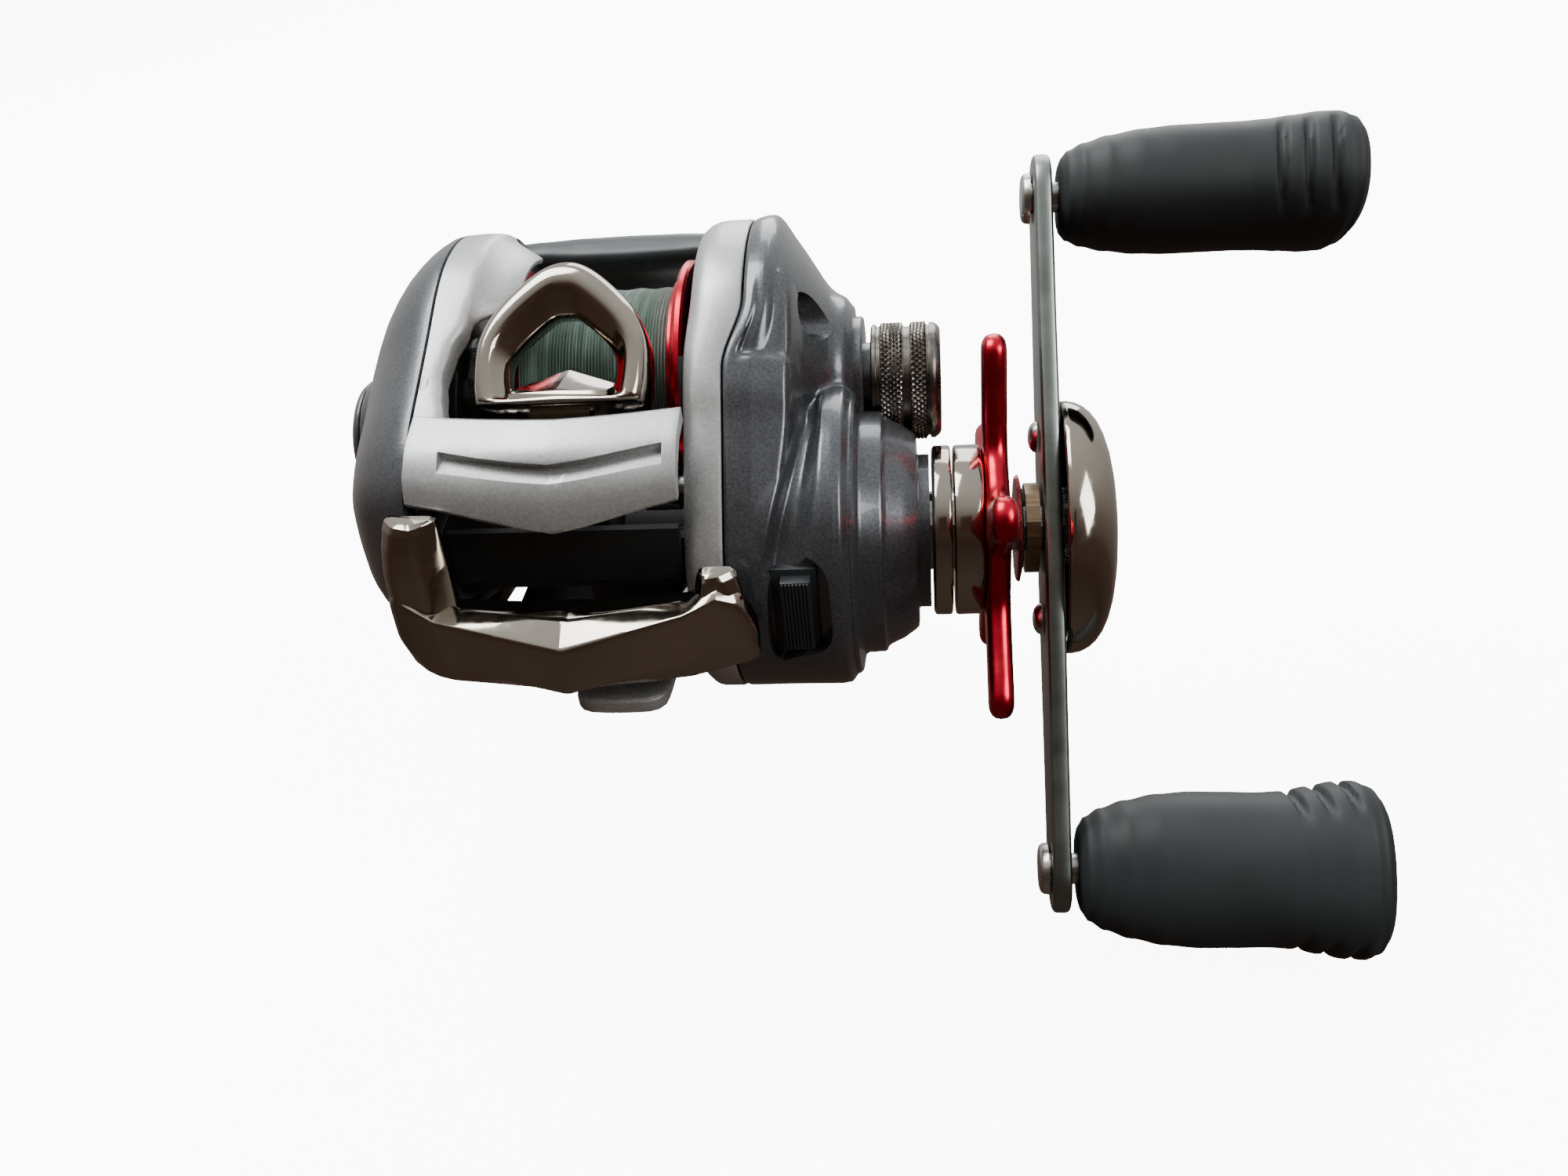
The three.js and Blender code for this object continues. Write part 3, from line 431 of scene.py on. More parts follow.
# ------------------------------------------------------------------ palm side
bm = bmesh.new()
rings = []
C0 = (7, -2)
for x, s, d in [(-17.3, 0.985, 0), (-17.45, 1.0, 0), (-18.4, 0.992, 0), (-19.6, 0.968, 0), (-20.8, 0.938, 0), (-22, 0.903, 0), (-23.3, 0.862, 0), (-24.5, 0.815, 0), (-25.6, 0.765, 0),
                (-26.7, 0.70, 0), (-27.6, 0.638, 0), (-28.3, 0.58, 0), (-28.8, 0.525, 0), (-29.2, 0.465, 0), (-29.5, 0.38, 0), (-29.7, 0.27, 0), (-29.8, 0.12, 0)]:
    k = smoothstep(-19, -29, x)
    rings.append([(x, f, z) for f, z in scaled(PALM_S, (C0[0] + 4.5 * k, C0[1] - 6.5 * k), s)])
add_loft(bm, rings)
add_lathe(bm, [(-28.5, 9.6), (-30.2, 8.9), (-30.6, 8.6), (-30.7, 8.3), (-30.7, 0)], (6, -3), 96)
finish_mesh("palm_shell", bm, M_CHAR, "frame_side", "palm_cover", angle=50)

bm = bmesh.new()
add_lathe(bm, [(-30.9, 0), (-30.9, 8.2), (-31.2, 8.3), (-31.9, 7.8), (-32.3, 7.0), (-32.5, 5.8), (-32.6, 0)], (6, -3), 96)
add_box(bm, -33.0, -32.2, 5.3, 6.7, -8.4, 2.4)
finish_mesh("brake_knob", bm, M_CHAR, "brake_dial_body", "brake_dial", bevel=0.15)

# ------------------------------------------------------------------ front shroud
bm = bmesh.new()
# arch over the palm end of the spool: outer skin follows the palm outline
top = smooth(PALM[2:17], 90, closed=False)


def arch_section(i, x0, x1, x2, d2, th, r=0.7):
    """Outer skin to the crease at x1, a lip that slopes to x2 and lies d2 deeper, then the inner wall."""
    f, z = top[i]
    a, b = top[max(0, i - 1)], top[min(len(top) - 1, i + 1)]
    t = Vector((b[0] - a[0], b[1] - a[1])); t.normalize()
    nrm = Vector((-t.y, t.x))
    if nrm.dot(Vector((f - 5, z + 4))) < 0:
        nrm = -nrm
    prof = [(x0, 0.0), (x0 + (x1 - r - x0) * 0.5, 0.08), (x1 - r * 1.6, 0.0), (x1 - r * 0.8, -0.1), (x1 - r * 0.25, -0.32), (x1 + 0.02, -0.7),
            (x1 + (x2 - x1) * 0.5, -0.7 - (d2 - 0.7) * 0.5), (x2 - 0.05, -d2 + 0.25), (x2, -d2), (x2 - 0.15, -d2 - 0.35), (x2 - 0.5, -th), (x0, -th)]
    return [(x, f + nrm.x * o, z + nrm.y * o) for x, o in prof]


secs = []
for i in range(len(top)):
    f, z = top[i]
    if f < -10.6:
        continue
    x1 = lerp_tab([(-30, -12.3), (9.0, -12.3), (13.5, -12.9), (17.0, -14.3), (20.5, -14.75), (23.0, -14.3), (26, -13.6)], f)[0]
    w = smoothstep(-10.7, -7.5, f) * (1 - smoothstep(9.0, 13.5, f))
    x2 = x1 + 4.2 * w
    d2 = 1.2 + 2.5 * w + 1.6 * smoothstep(10, 16, f)
    secs.append(arch_section(i, -17.05, x1, x2, d2, d2 + 0.45))
add_loft(bm, secs)
arch = finish_mesh("shroud_arch", bm, M_SILVER, "frame_side", None, angle=50)

bm = bmesh.new()
NX = 48
outl = []
SEC = [  # x, forward shift, sag of the crease and of the bottom edge
    (-17.0, 0.0, 0.3, 0.4), (-13, 0.75, 0.1, 0.0), (-8.5, 1.3, -0.4, -1.0), (-4, 1.75, -0.9, -1.9), (0, 2.0, -1.2, -2.6), (3.5, 1.7, -0.9, -2.0), (7, 1.3, -0.4, -1.2), (10.5, 0.75, -0.05, -0.4), (14.25, 0.1, 0.2, 0.2)]


def panel_at(x):
    for a, b in zip(SEC, SEC[1:]):
        if x <= b[0]:
            t = (x - a[0]) / (b[0] - a[0])
            return [u + (v - u) * t for u, v in zip(a[1:], b[1:])]
    return list(SEC[-1][1:])


xs = [-17.0 + 31.25 * i / NX for i in range(NX + 1)]
rings = []
for x in xs:
    f, z, d = panel_at(x)
    # the left end climbs into the arch
    up = smoothstep(-12.6, -15.4, x)
    r = [(25.4 + f - up * 0.2, 10.35 + up * 0.1), (26.0 + f, 10.5 + up * 0.1), (29.6 + f, 9.35), (31.0 + f, 8.5 + z * 0.3), (33.2 + f, 6.5 + z), (33.9 + f, 5.2 + z * 0.8 + d * 0.2), (34.45 + f, 3.6 + d), (34.2 + f, 3.15 + d), (33.1 + f, 3.2 + d), (31.9 + f, 5.5 + z), (28.8 + f, 7.9), (25.3 + f, 8.6)]
    rings.append([(x, a, b) for a, b in r])
add_loft(bm, rings)
panel = raw("shroud_panel", bm)
# shallow slot below the top face, closed at both ends
bm = bmesh.new()
slotrings = []
for x in [-12.9 + 25.6 * i / 24 for i in range(25)]:
    f, z, d = panel_at(x)
    zc = 8.15 + z * 0.75
    slotrings.append([(x, 30.1 + f, zc - 0.55), (x, 36, zc - 1.55), (x, 36, zc + 0.35), (x, 30.1 + f, zc + 0.62)])
add_loft(bm, slotrings)
cut(panel, raw("slot_cutter", bm))
for m in (M_SILVER,):
    panel.data.materials.append(m)
b = panel.modifiers.new("b", "BEVEL"); b.width = 0.00028; b.segments = 3; b.limit_method = "ANGLE"; b.angle_limit = 38 * D
apply_mods(panel); shade(panel, 26)
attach(panel, "frame_side"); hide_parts("front_shroud")

# left cheek: the corner block where the arch turns into the panel
bm = bmesh.new()
cheek = smooth([(24.6, 11.0), (28.6, 9.6), (32.6, 6.8), (34.2, 3.9), (33.6, 3.0), (31.4, 3.5), (27, 7.4), (22, 9.5), (19.5, 12.2), (21, 13.1)], 60)
add_ext(bm, cheek, -17.05, -15.9)
finish_mesh("shroud_cheek", bm, M_SILVER, "frame_side", None, bevel=0.3)

# ------------------------------------------------------------------ main frame
bm = bmesh.new()
G1 = offset(GEAR_S, -0.0)
rim = []
for x, d in [(13.4, 2.2), (13.45, 1.55), (13.7, 1.1), (14.4, 0.42), (14.9, 0.12), (15.5, 0.0), (17.7, 0.0), (17.95, 0.06), (18.1, 0.2), (18.1, 2.6)]:
    rim.append([(x, f, z) for f, z in offset(GEAR_S, d)])
add_loft(bm, rim, caps=False)
# inner face of the rim and its web
vs = add_loft(bm, [[(18.1, f, z) for f, z in offset(GEAR_S, 2.6)], [(13.4, f, z) for f, z in offset(GEAR_S, 2.2)]], caps=False)
# the web takes the near-black painted-shade material, darker than real black plastic, so it reads as the shaded inside
# of the frame
add_loft(bm, [[(13.5, f, z) for f, z in offset(GEAR_S, 2.25)], [(15.3, f, z) for f, z in offset(GEAR_S, 2.25)]], caps=True, mat=1)
for v in bm.verts:
    x, f, z = v.co.x * 1000 + 4.3, -v.co.y * 1000, v.co.z * 1000 - 24
    v.co.x += (0.0007 + 0.0016 * smoothstep(13.6, 17.0, x)) * smoothstep(11.8, 17.6, z)
rimo = finish_mesh("gear_rim", bm, [M_SILVER, M_INNER_BLACK_SHADE], "frame_side", "main_frame", angle=28, weld=1e-6)

bm = bmesh.new()
left = [p for p in smooth(scaled(PALM, (4, -2), 0.9), 120)]
lo = [(-16.7, f, z) for f, z in left]
hole = circle((0, 0), 17.4, 120)
# the palm-side wall is a ring round the spool opening
lw = []
for i, (f, z) in enumerate(left):
    a = math.atan2(z, f)
    lw.append((17.5 * math.cos(a), 17.5 * math.sin(a)))
out_pts = []
for (f, z), (hf, hz) in zip(left, lw):
    if f > 17 and z > -1:
        s = 0.8
        f, z = hf + (f - hf) * 0.25, hz + (z - hz) * 0.25
    if f > 34:
        f = 34
    if math.hypot(f, z) < 18.0:
        k = 18.0 / math.hypot(f, z); f, z = f * k, z * k
    out_pts.append((f, z))
add_loft(bm, [[(-16.7, f, z) for f, z in lw], [(-16.7, f, z) for f, z in out_pts], [(-14.9, f, z) for f, z in out_pts], [(-14.9, f, z) for f, z in lw], [(-16.7, f, z) for f, z in lw]], caps=False)
add_box(bm, -15.2, 13.8, -9, 4.3, -21.8, -18.9)
add_box(bm, -11.4, 10.4, 4.3, 21.5, -21.8, -18.9)
add_ext(bm, [(-20.6, -9.5), (-18, -9.5), (-17.8, -2), (-20.4, -2)], -15.2, 13.8)
add_ext(bm, [(19.4, -21.8), (25, -21.8), (26.4, -11.0), (22.6, -11.0)], -0.2, 10.3)
add_loft(bm, [[(x, f, z) for f, z in arc((0, 0), r, -40, 37, 24)] for x, r in ((12.75, 17.1), (12.75, 20.6), (13.6, 20.6), (13.6, 17.1), (12.75, 17.1))], closed=False, caps=False)
# the inner cage takes the near-black painted-shade material so it sinks into the shade inside the frame
finish_mesh("inner_cage", bm, M_INNER_BLACK_SHADE, "frame_side", None, bevel=0.3, weld=1e-6)

# ------------------------------------------------------------------ gear cover
CG = (8.0, -7.0)
NG = 300


def polar(pts, c, n=NG):
    """Radius of a star-shaped closed outline at n even angles round c."""
    out = []
    m = len(pts)
    for i in range(n):
        a = 2 * math.pi * i / n
        dx, dz = math.cos(a), math.sin(a)
        best = 0
        for k in range(m):
            p, q = pts[k], pts[(k + 1) % m]
            px, pz, ex, ez = p[0] - c[0], p[1] - c[1], q[0] - p[0], q[1] - p[1]
            den = dx * ez - dz * ex
            if abs(den) < 1e-12:
                continue
            t = (px * ez - pz * ex) / den
            u = (px * dz - pz * dx) / den
            if t > 0 and -1e-6 <= u <= 1 + 1e-6:
                best = max(best, t)
        out.append(best)
    return out


def ray_circle(c, cc, r, n=NG):
    out = []
    for i in range(n):
        a = 2 * math.pi * i / n
        dx, dz = math.cos(a), math.sin(a)
        px, pz = cc[0] - c[0], cc[1] - c[1]
        b = dx * px + dz * pz
        q = b * b - (px * px + pz * pz - r * r)
        out.append(b + math.sqrt(q) if q > 0 else 0.0)
    return out


def smax(a, b, k=1.2):
    h = max(k - abs(a - b), 0) / k
    return max(a, b) + h * h * k * 0.25


PG = polar(GEAR_S, CG)
ANG = [2 * math.pi * i / NG for i in range(NG)]


def part_shift(f, z, x):
    """The parting plane steps outward towards the top of the side."""
    return 2.3 * smoothstep(11.8, 17.6, z) * (1 - smoothstep(19.0, 26.0, x))


bm = bmesh.new()
rings = []
# radius of the shoulder round the spool axis along x
TOPR = [(18.4, 21.5), (20, 21.9), (22, 21.9), (23.5, 21.2), (25, 19.7), (26.5, 17.6), (28, 15.2), (29.4, 12.9), (30.6, 11.7), (31.8, 11.2), (32.4, 10.6), (32.8, 9.4)]
for k in range(61):
    x = 18.4 + (32.8 - 18.4) * k / 60
    rt = sum(lin_tab(TOPR, x + q) for q in (-0.6, -0.3, 0, 0.3, 0.6)) / 5
    spool_r = ray_circle(CG, (0, 0), rt)
    rs = 19.35 if x < 30.6 else lerp_tab([(30.6, 19.35), (31.6, 19.2), (32.8, 18.0)], x)[0]
    shaft_r = ray_circle(CG, SH, rs)
    ring = []
    for i in range(NG):
        a = ANG[i]
        ca, sa = math.cos(a), math.sin(a)
        base = smax(spool_r[i], shaft_r[i], 0.9)
        zz = CG[1] + max(base, PG[i]) * sa
        front = smoothstep(0.25, 0.6, ca)
        # the moulded front bulge ends earlier lower down, and a hollow follows it
        drift = 3.6 * smoothstep(9, -9, zz)
        end = 26.4 - drift
        bul = 1 - smoothstep(end - 0.9, end + 0.9, x)
        full = PG[i] * (1 - 0.010 * max(0, x - 21.5))
        r = base + (max(full, base) - base) * (bul if ca > 0 else 1 - smoothstep(21, 25, x))
        groove = smoothstep(end - 0.6, end + 1.2, x) * (1 - smoothstep(end + 1.9, max(end + 2.6, 29.5), x))
        r -= 2.1 * groove * front * smoothstep(-13, -5, zz)
        # the smooth upper part lies a little lower than the bulge below the lip
        up = smoothstep(12.6, 13.6, zz) * smoothstep(0.0, 0.4, ca) * (1 - smoothstep(24.5, 27.5, x)) * smoothstep(19.4, 20.4, x)
        r -= 0.75 * up
        r -= 0.25 * (1 - smoothstep(18.4, 18.75, x))
        f, z = CG[0] + r * ca, CG[1] + r * sa
        ring.append((x + part_shift(f, z, x), f, z))
    rings.append(ring)
add_loft(bm, rings)
cover = raw("gear_shell", bm)
cover.data.materials.append(M_CHAR)
shade(cover, 40)


def cylinder_cutter(x0, x1, r, c, seg=64, r1=None):
    b2 = bmesh.new()
    add_lathe(b2, [(x0, 0), (x0, r), (x1, r1 or r), (x1, 0)], c, seg)
    return raw("cutter", b2)


cut(cover, cylinder_cutter(24.9, 40, 2.75, (7.6, 13.0), r1=3.6))
# window of the slide switch: round at the top, drawn to a point at the bottom
b2 = bmesh.new()
win = smooth([(23.4, -8.6), (25.2, -6.4), (28.2, -6.2), (30.0, -8.0), (30.3, -12), (30.2, -16.5), (28.6, -18.8), (25.6, -19.6), (23.8, -20.2), (22.8, -17.5), (22.9, -12)], 80)
add_loft(b2, [[(x, 32.0, z) for x, z in win], [(x, 40, z) for x, z in win]])
cut(cover, raw("window_cutter", b2))
shade(cover, 40)
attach(cover, "frame_side"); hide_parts("gear_cover")

bm = bmesh.new()
add_lathe(bm, [(31.0, 18.2), (32.8, 18.1), (33.15, 17.8), (33.4, 16.4), (33.6, 15.7), (34.0, 15.45), (36.0, 15.35), (36.3, 15.2), (36.5, 14.7), (36.9, 14.4), (38.6, 13.6), (40.0, 12.6), (40.4, 12.2), (40.5, 11.6), (40.5, 9.9), (40.7, 9.75), (42.0, 9.75), (42.0, 5.4), (31.0, 5.4)], SH, 160)
boss = raw("drive_boss", bm)
boss.data.materials.append(M_CHAR)
cut(boss, cylinder_cutter(33.9, 46, 8.3, (0, 0), 96))
shade(boss, 34)
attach(boss, "frame_side")

bm = bmesh.new()
add_lathe(bm, [(24, 9.9), (31.8, 9.6), (32.3, 9.4), (32.5, 8.9), (32.7, 8.6), (33.7, 8.6), (33.95, 8.35), (33.95, 5.2), (40.2, 5.2), (40.2, 3.0), (24, 3.0)], (0, 0), 128)
finish_mesh("cast_boss", bm, M_CHAR, "frame_side", None, angle=34)

# screw down in its recess
bm = bmesh.new()
add_lathe(bm, [(20.5, 0), (20.5, 1.0), (25.0, 1.0), (25.0, 2.2), (26.1, 2.2), (26.5, 1.9), (26.6, 1.5), (26.6, 0)], (7.2, 13.2), 48)
scr = raw("side_screw", bm)
scr.data.materials.append(M_STEEL)
for bx in ((6.85, 7.55, 11.6, 14.8), (5.6, 8.8, 12.85, 13.55)):
    b2 = bmesh.new(); add_box(b2, 26.0, 27.5, *bx); cut(scr, raw("c", b2))
shade(scr, 34)
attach(scr, "frame_side"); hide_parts("cover_screw")

# slide switch
bm = bmesh.new()
add_box(bm, 23.4, 28.8, 31.3, 32.6, -20.4, -7.4)
for i in range(8):
    x = 24.75 + i * 0.42
    add_box(bm, x, x + 0.27, 32.4, 34.6, -17.6, -8.3)
add_box(bm, 24.6, 28.1, 32.4, 34.3, -17.7, -8.2)
finish_mesh("switch_slider", bm, M_BLACK, "slide_switch_body", "slide_switch", bevel=0.09, seg=2)

# ------------------------------------------------------------------ finger bar
bm = bmesh.new()


def bar_ring(x, a, b, c, d, e, f):
    base = [a, b, c, d, e, f]
    return [(x, p[0], p[1]) for p in smooth_corner(base)]


def smooth_corner(pts, r=0.32, n=4):
    """Rounds each corner of a closed outline: r is the share of each side that the round takes."""
    out = []
    m = len(pts)
    for i in range(m):
        p0, p1, p2 = Vector(pts[i - 1]), Vector(pts[i]), Vector(pts[(i + 1) % m])
        a, b = p1.lerp(p0, r), p1.lerp(p2, r)
        for k in range(n + 1):
            t = k / n
            out.append(tuple((a.lerp(p1, t)).lerp(p1.lerp(b, t), t)))
    return out


KEY = [
    (-20.55, (36.4, -7.4), (37.1, -7.0), (37.9, -7.8), (38.0, -10.5), (37.1, -12.4), (36.3, -11.6)),
    (-20.2, (36.25, -6.2), (37.7, -5.4), (38.8, -6.8), (38.9, -11.4), (37.6, -14.4), (36.1, -13.2)),
    (-19.2, (36.1, -5.5), (38.2, -4.2), (39.7, -6.0), (39.8, -12.0), (38.2, -16.2), (36.0, -14.6)),
    (-17.8, (36.0, -6.4), (38.1, -5.2), (40.3, -6.3), (40.4, -12.8), (38.8, -17.1), (35.8, -15.0)),
    (-16.4, (35.9, -7.4), (38.1, -6.2), (40.8, -6.8), (40.8, -13.4), (39.2, -17.5), (35.6, -15.4)),
    (-14.4, (35.6, -8.2), (38.0, -7.6), (41.3, -7.8), (41.5, -13.8), (39.6, -17.7), (35.2, -15.6)),
    (-7.2, (35.6, -8.6), (38.4, -8.6), (41.85, -9.5), (42.35, -15.35), (40.15, -18.0), (35.7, -16.1)),
    (-0.3, (35.6, -9.0), (38.8, -9.6), (42.4, -11.3), (43.2, -16.9), (40.7, -18.3), (36.2, -16.6)),
    (0.3, (35.6, -9.0), (38.8, -9.6), (42.4, -11.3), (43.2, -16.9), (40.7, -18.3), (36.2, -16.6)),
    (7.2, (35.6, -8.5), (38.4, -8.5), (41.75, -9.5), (42.1, -15.4), (40.05, -18.0), (35.7, -16.1)),
    (14.2, (35.6, -8.0), (38.0, -7.4), (41.1, -7.7), (41.0, -14.0), (39.4, -17.7), (35.2, -15.6)),
    (18.0, (36.0, -6.4), (38.1, -5.2), (40.0, -6.4), (40.0, -12.2), (38.7, -17.1), (35.9, -15.4)),
    (20.6, (36.2, -7.4), (37.8, -6.6), (39.3, -8.0), (39.4, -13.2), (38.2, -16.8), (36.1, -15.4)),
    (21.6, (36.3, -9.4), (37.5, -8.9), (38.8, -10.1), (39.0, -13.7), (37.9, -16.4), (36.2, -15.2)),
    (22.1, (36.4, -11.0), (37.2, -10.6), (38.3, -11.6), (38.5, -14.0), (37.6, -16.0), (36.3, -15.0)),
]


def bar_key(x):
    for a, b in zip(KEY, KEY[1:]):
        if x <= b[0]:
            t = (x - a[0]) / (b[0] - a[0])
            return [tuple(u + (v - u) * t for u, v in zip(p, q)) for p, q in zip(a[1:], b[1:])]
    return list(KEY[-1][1:])


rings = []
XS = sorted(set([round(-20.55 + 42.65 * i / 96, 3) for i in range(97)] + [-0.3, 0.3]))
for x in XS:
    pts = smooth_corner(bar_key(x), 0.13 + 0.12 * smoothstep(15.5, 20.5, abs(x - 0.8)), 4)
    rings.append([(x, p[0], p[1]) for p in pts])
add_loft(bm, rings)


def arm_l(z, x0, x1, f0, f1):
    base = [(x0, f0), (x1, f0), (x1, f0 + 1.0), (x1 - 2.3, f1), (x0 + 1.4, f1 - 0.8), (x0, f1 - 2.4)]
    return [(p[0], p[1], z) for p in smooth_corner(base, 0.22, 4)]


def arm_r(z, x0, x1, f0, f1):
    base = [(x1, f0), (x0, f0), (x0, f0 + 1.2), (x0 + 1.0, f1), (x1 - 1.4, f1 - 0.4), (x1, f1 - 1.6)]
    return [(p[0], p[1], z) for p in smooth_corner(base, 0.22, 4)]


def arm_rows(keys, n):
    out = []
    for i in range(n):
        t = i / (n - 1) * (len(keys) - 1)
        k = min(int(t), len(keys) - 2)
        q = t - k
        out.append(tuple(u + (v - u) * q for u, v in zip(keys[k], keys[k + 1])))
    return out


L_KEYS = [(-13, -20.1, -13.0, 36.2, 39.6), (-10, -20.35, -12.8, 36.15, 40.2), (-7, -20.35, -12.7, 36.1, 40.5), (-3, -20.15, -12.6, 36.1, 40.45), (0.2, -19.7, -12.65, 36.1, 40.0), (2.4, -19.2, -12.7, 36.1, 39.4), (3.2, -18.9, -12.85, 36.15, 39.0), (3.55, -18.4, -13.3, 36.4, 38.4)]
add_loft(bm, [arm_l(*r) for r in arm_rows(L_KEYS, 36)])
R_KEYS = [(-15, 15.2, 21.8, 36.3, 39.2), (-13, 15.0, 21.95, 36.2, 39.5), (-11, 15.05, 21.7, 36.2, 39.6), (-8.4, 15.2, 21.1, 36.1, 39.6), (-6.4, 15.4, 20.6, 36.1, 39.3), (-5.0, 15.7, 20.2, 36.15, 38.9), (-4.45, 16.0, 19.9, 36.2, 38.5), (-4.2, 16.5, 19.4, 36.4, 38.0)]
add_loft(bm, [arm_r(*r) for r in arm_rows(R_KEYS, 36)])
for x0, x1 in ((-14.4, -13.0), (11.4, 12.8)):
    add_ext(bm, [(36.4, -9.8), (36.4, -13), (30, -17.2), (9, -20.8), (6.2, -20.4), (5.6, -18.4), (7, -16.9), (9.4, -16.9), (22, -16.4), (31, -12.8)], x0, x1)
add_lathe(bm, [(-16.4, 0), (-16.4, 1.5), (-14.2, 1.5), (-14.2, 0)], (8, -18.7), 32)
add_lathe(bm, [(12.4, 0), (12.4, 1.5), (14.9, 1.5), (14.9, 0)], (8, -18.7), 32)
finish_mesh("chrome_bar", bm, M_CHROME, "finger_bar_body", "finger_bar", angle=24)

# ------------------------------------------------------------------ thumb bar
bm = bmesh.new()
rings = []
for i in range(41):
    x = -14.5 + 27.6 * i / 40
    d = lerp_tab([(-14.5, -0.9), (-12, -0.5), (-6, 0.2), (0.5, 0.4), (7, 0.2), (13.1, -0.4)], x)[0]
    base = [(-18.2 - d, 13.6), (-20.6 - d, 14.1), (-23.4 - d, 12.4), (-24.2 - d, 8.6), (-23.2 - d, 5.4), (-21.6 - d, 5.0), (-19.6, 8.2), (-17.9, 10.4), (-17.0, 12.6)]
    rings.append([(x, f, z) for f, z in smooth(base, 48)])
add_loft(bm, rings)
add_ext(bm, arc((0, 0), 21.2, 120.6, 146, 16) + [(-19.0, 13.0), (-18.0, 10.6)] + arc((0, 0), 18.4, 144, 125.6, 12), -14.5, -12.3)
add_box(bm, 12.9, 15.8, -17.2, -15.0, 4.6, 8.8)
add_box(bm, 11.6, 13.05, -20.0, -17.3, 6.8, 10.0)
finish_mesh("thumb_rest", bm, M_BAR, "thumb_bar_body", "thumb_bar", bevel=0.35, angle=34)

# ------------------------------------------------------------------ spool and line
bm = bmesh.new()
add_lathe(bm, [(-10.3, 2.3), (-10.3, 4.2), (-7, 6), (-9.4, 14.6), (-11.2, 15.2), (-11.6, 15.5), (-11.75, 16.0), (-11.7, 16.45), (-11.4, 16.75), (-10.9, 16.8), (-10.5, 16.6), (-10.2, 16.0), (-7.6, 7.6),
               (8.4, 7.6), (10.95, 15.9), (11.15, 16.5), (11.5, 16.78), (12.1, 16.78), (12.45, 16.5), (12.6, 16.0), (12.5, 15.4), (10.2, 14.6), (8, 6), (11.2, 4.2), (11.2, 2.3)], (0, 0), 160)
finish_mesh("red_spool", bm, M_RED, "spool_body", "spool", angle=30)

bm = bmesh.new()
random.seed(7)
turns = 46
prof = []
for k in range(turns * 4 + 1):
    x = -8.95 + 18.7 * k / (turns * 4)
    edge = min(1, (x + 8.95) / 1.2, (9.75 - x) / 1.2)
    r = LINE_R = 13.05 + 0.25 * math.sin(edge * math.pi / 2) + 0.13 * math.cos(k * math.pi / 2) + 0.07 * math.sin(x * 1.7)
    prof.append((x, r))
prof = [(-7.35, 7.9)] + prof + [(8.15, 7.9)]
seg = 128
cols = []
wob = [random.uniform(-0.5, 0.5) for _ in range(8)]
for i in range(seg):
    a = 2 * math.pi * i / seg
    skew = 0.28 * math.sin(a) + 0.12 * math.sin(3 * a + 1)
    cols.append([(x + (skew if 9 < r else 0) * (1 - abs(x - 0.4) / 9.6) , r * math.cos(a) * (1 + 0.002 * math.sin(5 * a + x)), r * math.sin(a) * (1 + 0.002 * math.sin(5 * a + x))) for x, r in prof])
add_loft(bm, cols + [cols[0]], caps=False)
finish_mesh("wound_line", bm, M_LINE, "spool_body", "line_pack", angle=60, weld=1e-7)

# ------------------------------------------------------------------ line guide
GX = -0.3
T, NRM, BASE = (-0.751, 0.660), (0.660, 0.751), (25.1, 11.25)


def G3(u, v, d):
    return (GX + u, BASE[0] + T[0] * v + NRM[0] * d, BASE[1] + T[1] * v + NRM[1] * d)


outer = smooth([(-8.8, 0.1), (0, 0.0), (8.8, 0.1), (10.1, 1.4), (10.35, 5), (9.95, 8.8), (8.3, 12.3), (5.2, 15.7), (2.4, 17.8), (0, 18.4), (-2.4, 17.8), (-5.2, 15.7), (-8.3, 12.3), (-9.95, 8.8), (-10.35, 5), (-10.1, 1.4)], 120)
inner_k = [(-5.2, 1.3), (0, 1.6), (5.2, 1.3), (6.1, 2.6), (6.0, 7.0), (1.9, 11.3), (0, 11.9), (-1.9, 11.3), (-6.0, 7.0), (-6.1, 2.6)]
inn = smooth_corner(inner_k, 0.28, 11)
inn = inn[:]  # 120 points
# both outlines start at the same place so that the skin between them doesn't twist
def start_at(pts, ang):
    c = (0, 7.0)
    best = min(range(len(pts)), key=lambda i: abs(((math.atan2(pts[i][1] - c[1], pts[i][0] - c[0]) - ang + math.pi) % (2 * math.pi)) - math.pi))
    return pts[best:] + pts[:best]


outer = start_at(outer, -math.pi / 2)
inn = start_at(smooth(inner_k, 120), -math.pi / 2)
shell = []
ROUND = [(0.0, -5.3), (-0.02, -2.4), (0.02, -1.3), (0.09, -0.62), (0.19, -0.2), (0.32, 0.0), (0.48, -0.03), (0.58, -0.28), (0.66, -0.7), (0.84, -1.5), (0.97, -2.1), (1.0, -2.4), (0.94, -4.8), (0.84, -5.5), (0.3, -5.6), (0.06, -5.5)]
for t, d in ROUND:
    shell.append([G3(o[0] + (i[0] - o[0]) * t, o[1] + (i[1] - o[1]) * t, d) for o, i in zip(outer, inn)])
bm = bmesh.new()
add_loft(bm, shell + [shell[0]], caps=False)
# ridged sill of the eye
sill = []
for i in range(13):
    t = i / 12
    d = -0.5 - 4.2 * t
    side, mid = 1.5 + 2.5 * t, 1.7 + 4.3 * t
    w = 5.7 + 0.25 * t
    sill.append([G3(-w, 0.9, d), G3(w, 0.9, d), G3(w, side, d), G3(0.15, mid, d), G3(-0.15, mid, d), G3(-w, side, d)])
add_loft(bm, sill)
add_box(bm, GX - 3.6, GX + 3.6, 21.8, 24.6, 5.9, 9.6)
finish_mesh("guide_eye", bm, M_CHROME, "line_guide_body", "line_guide", angle=48, weld=1e-7)

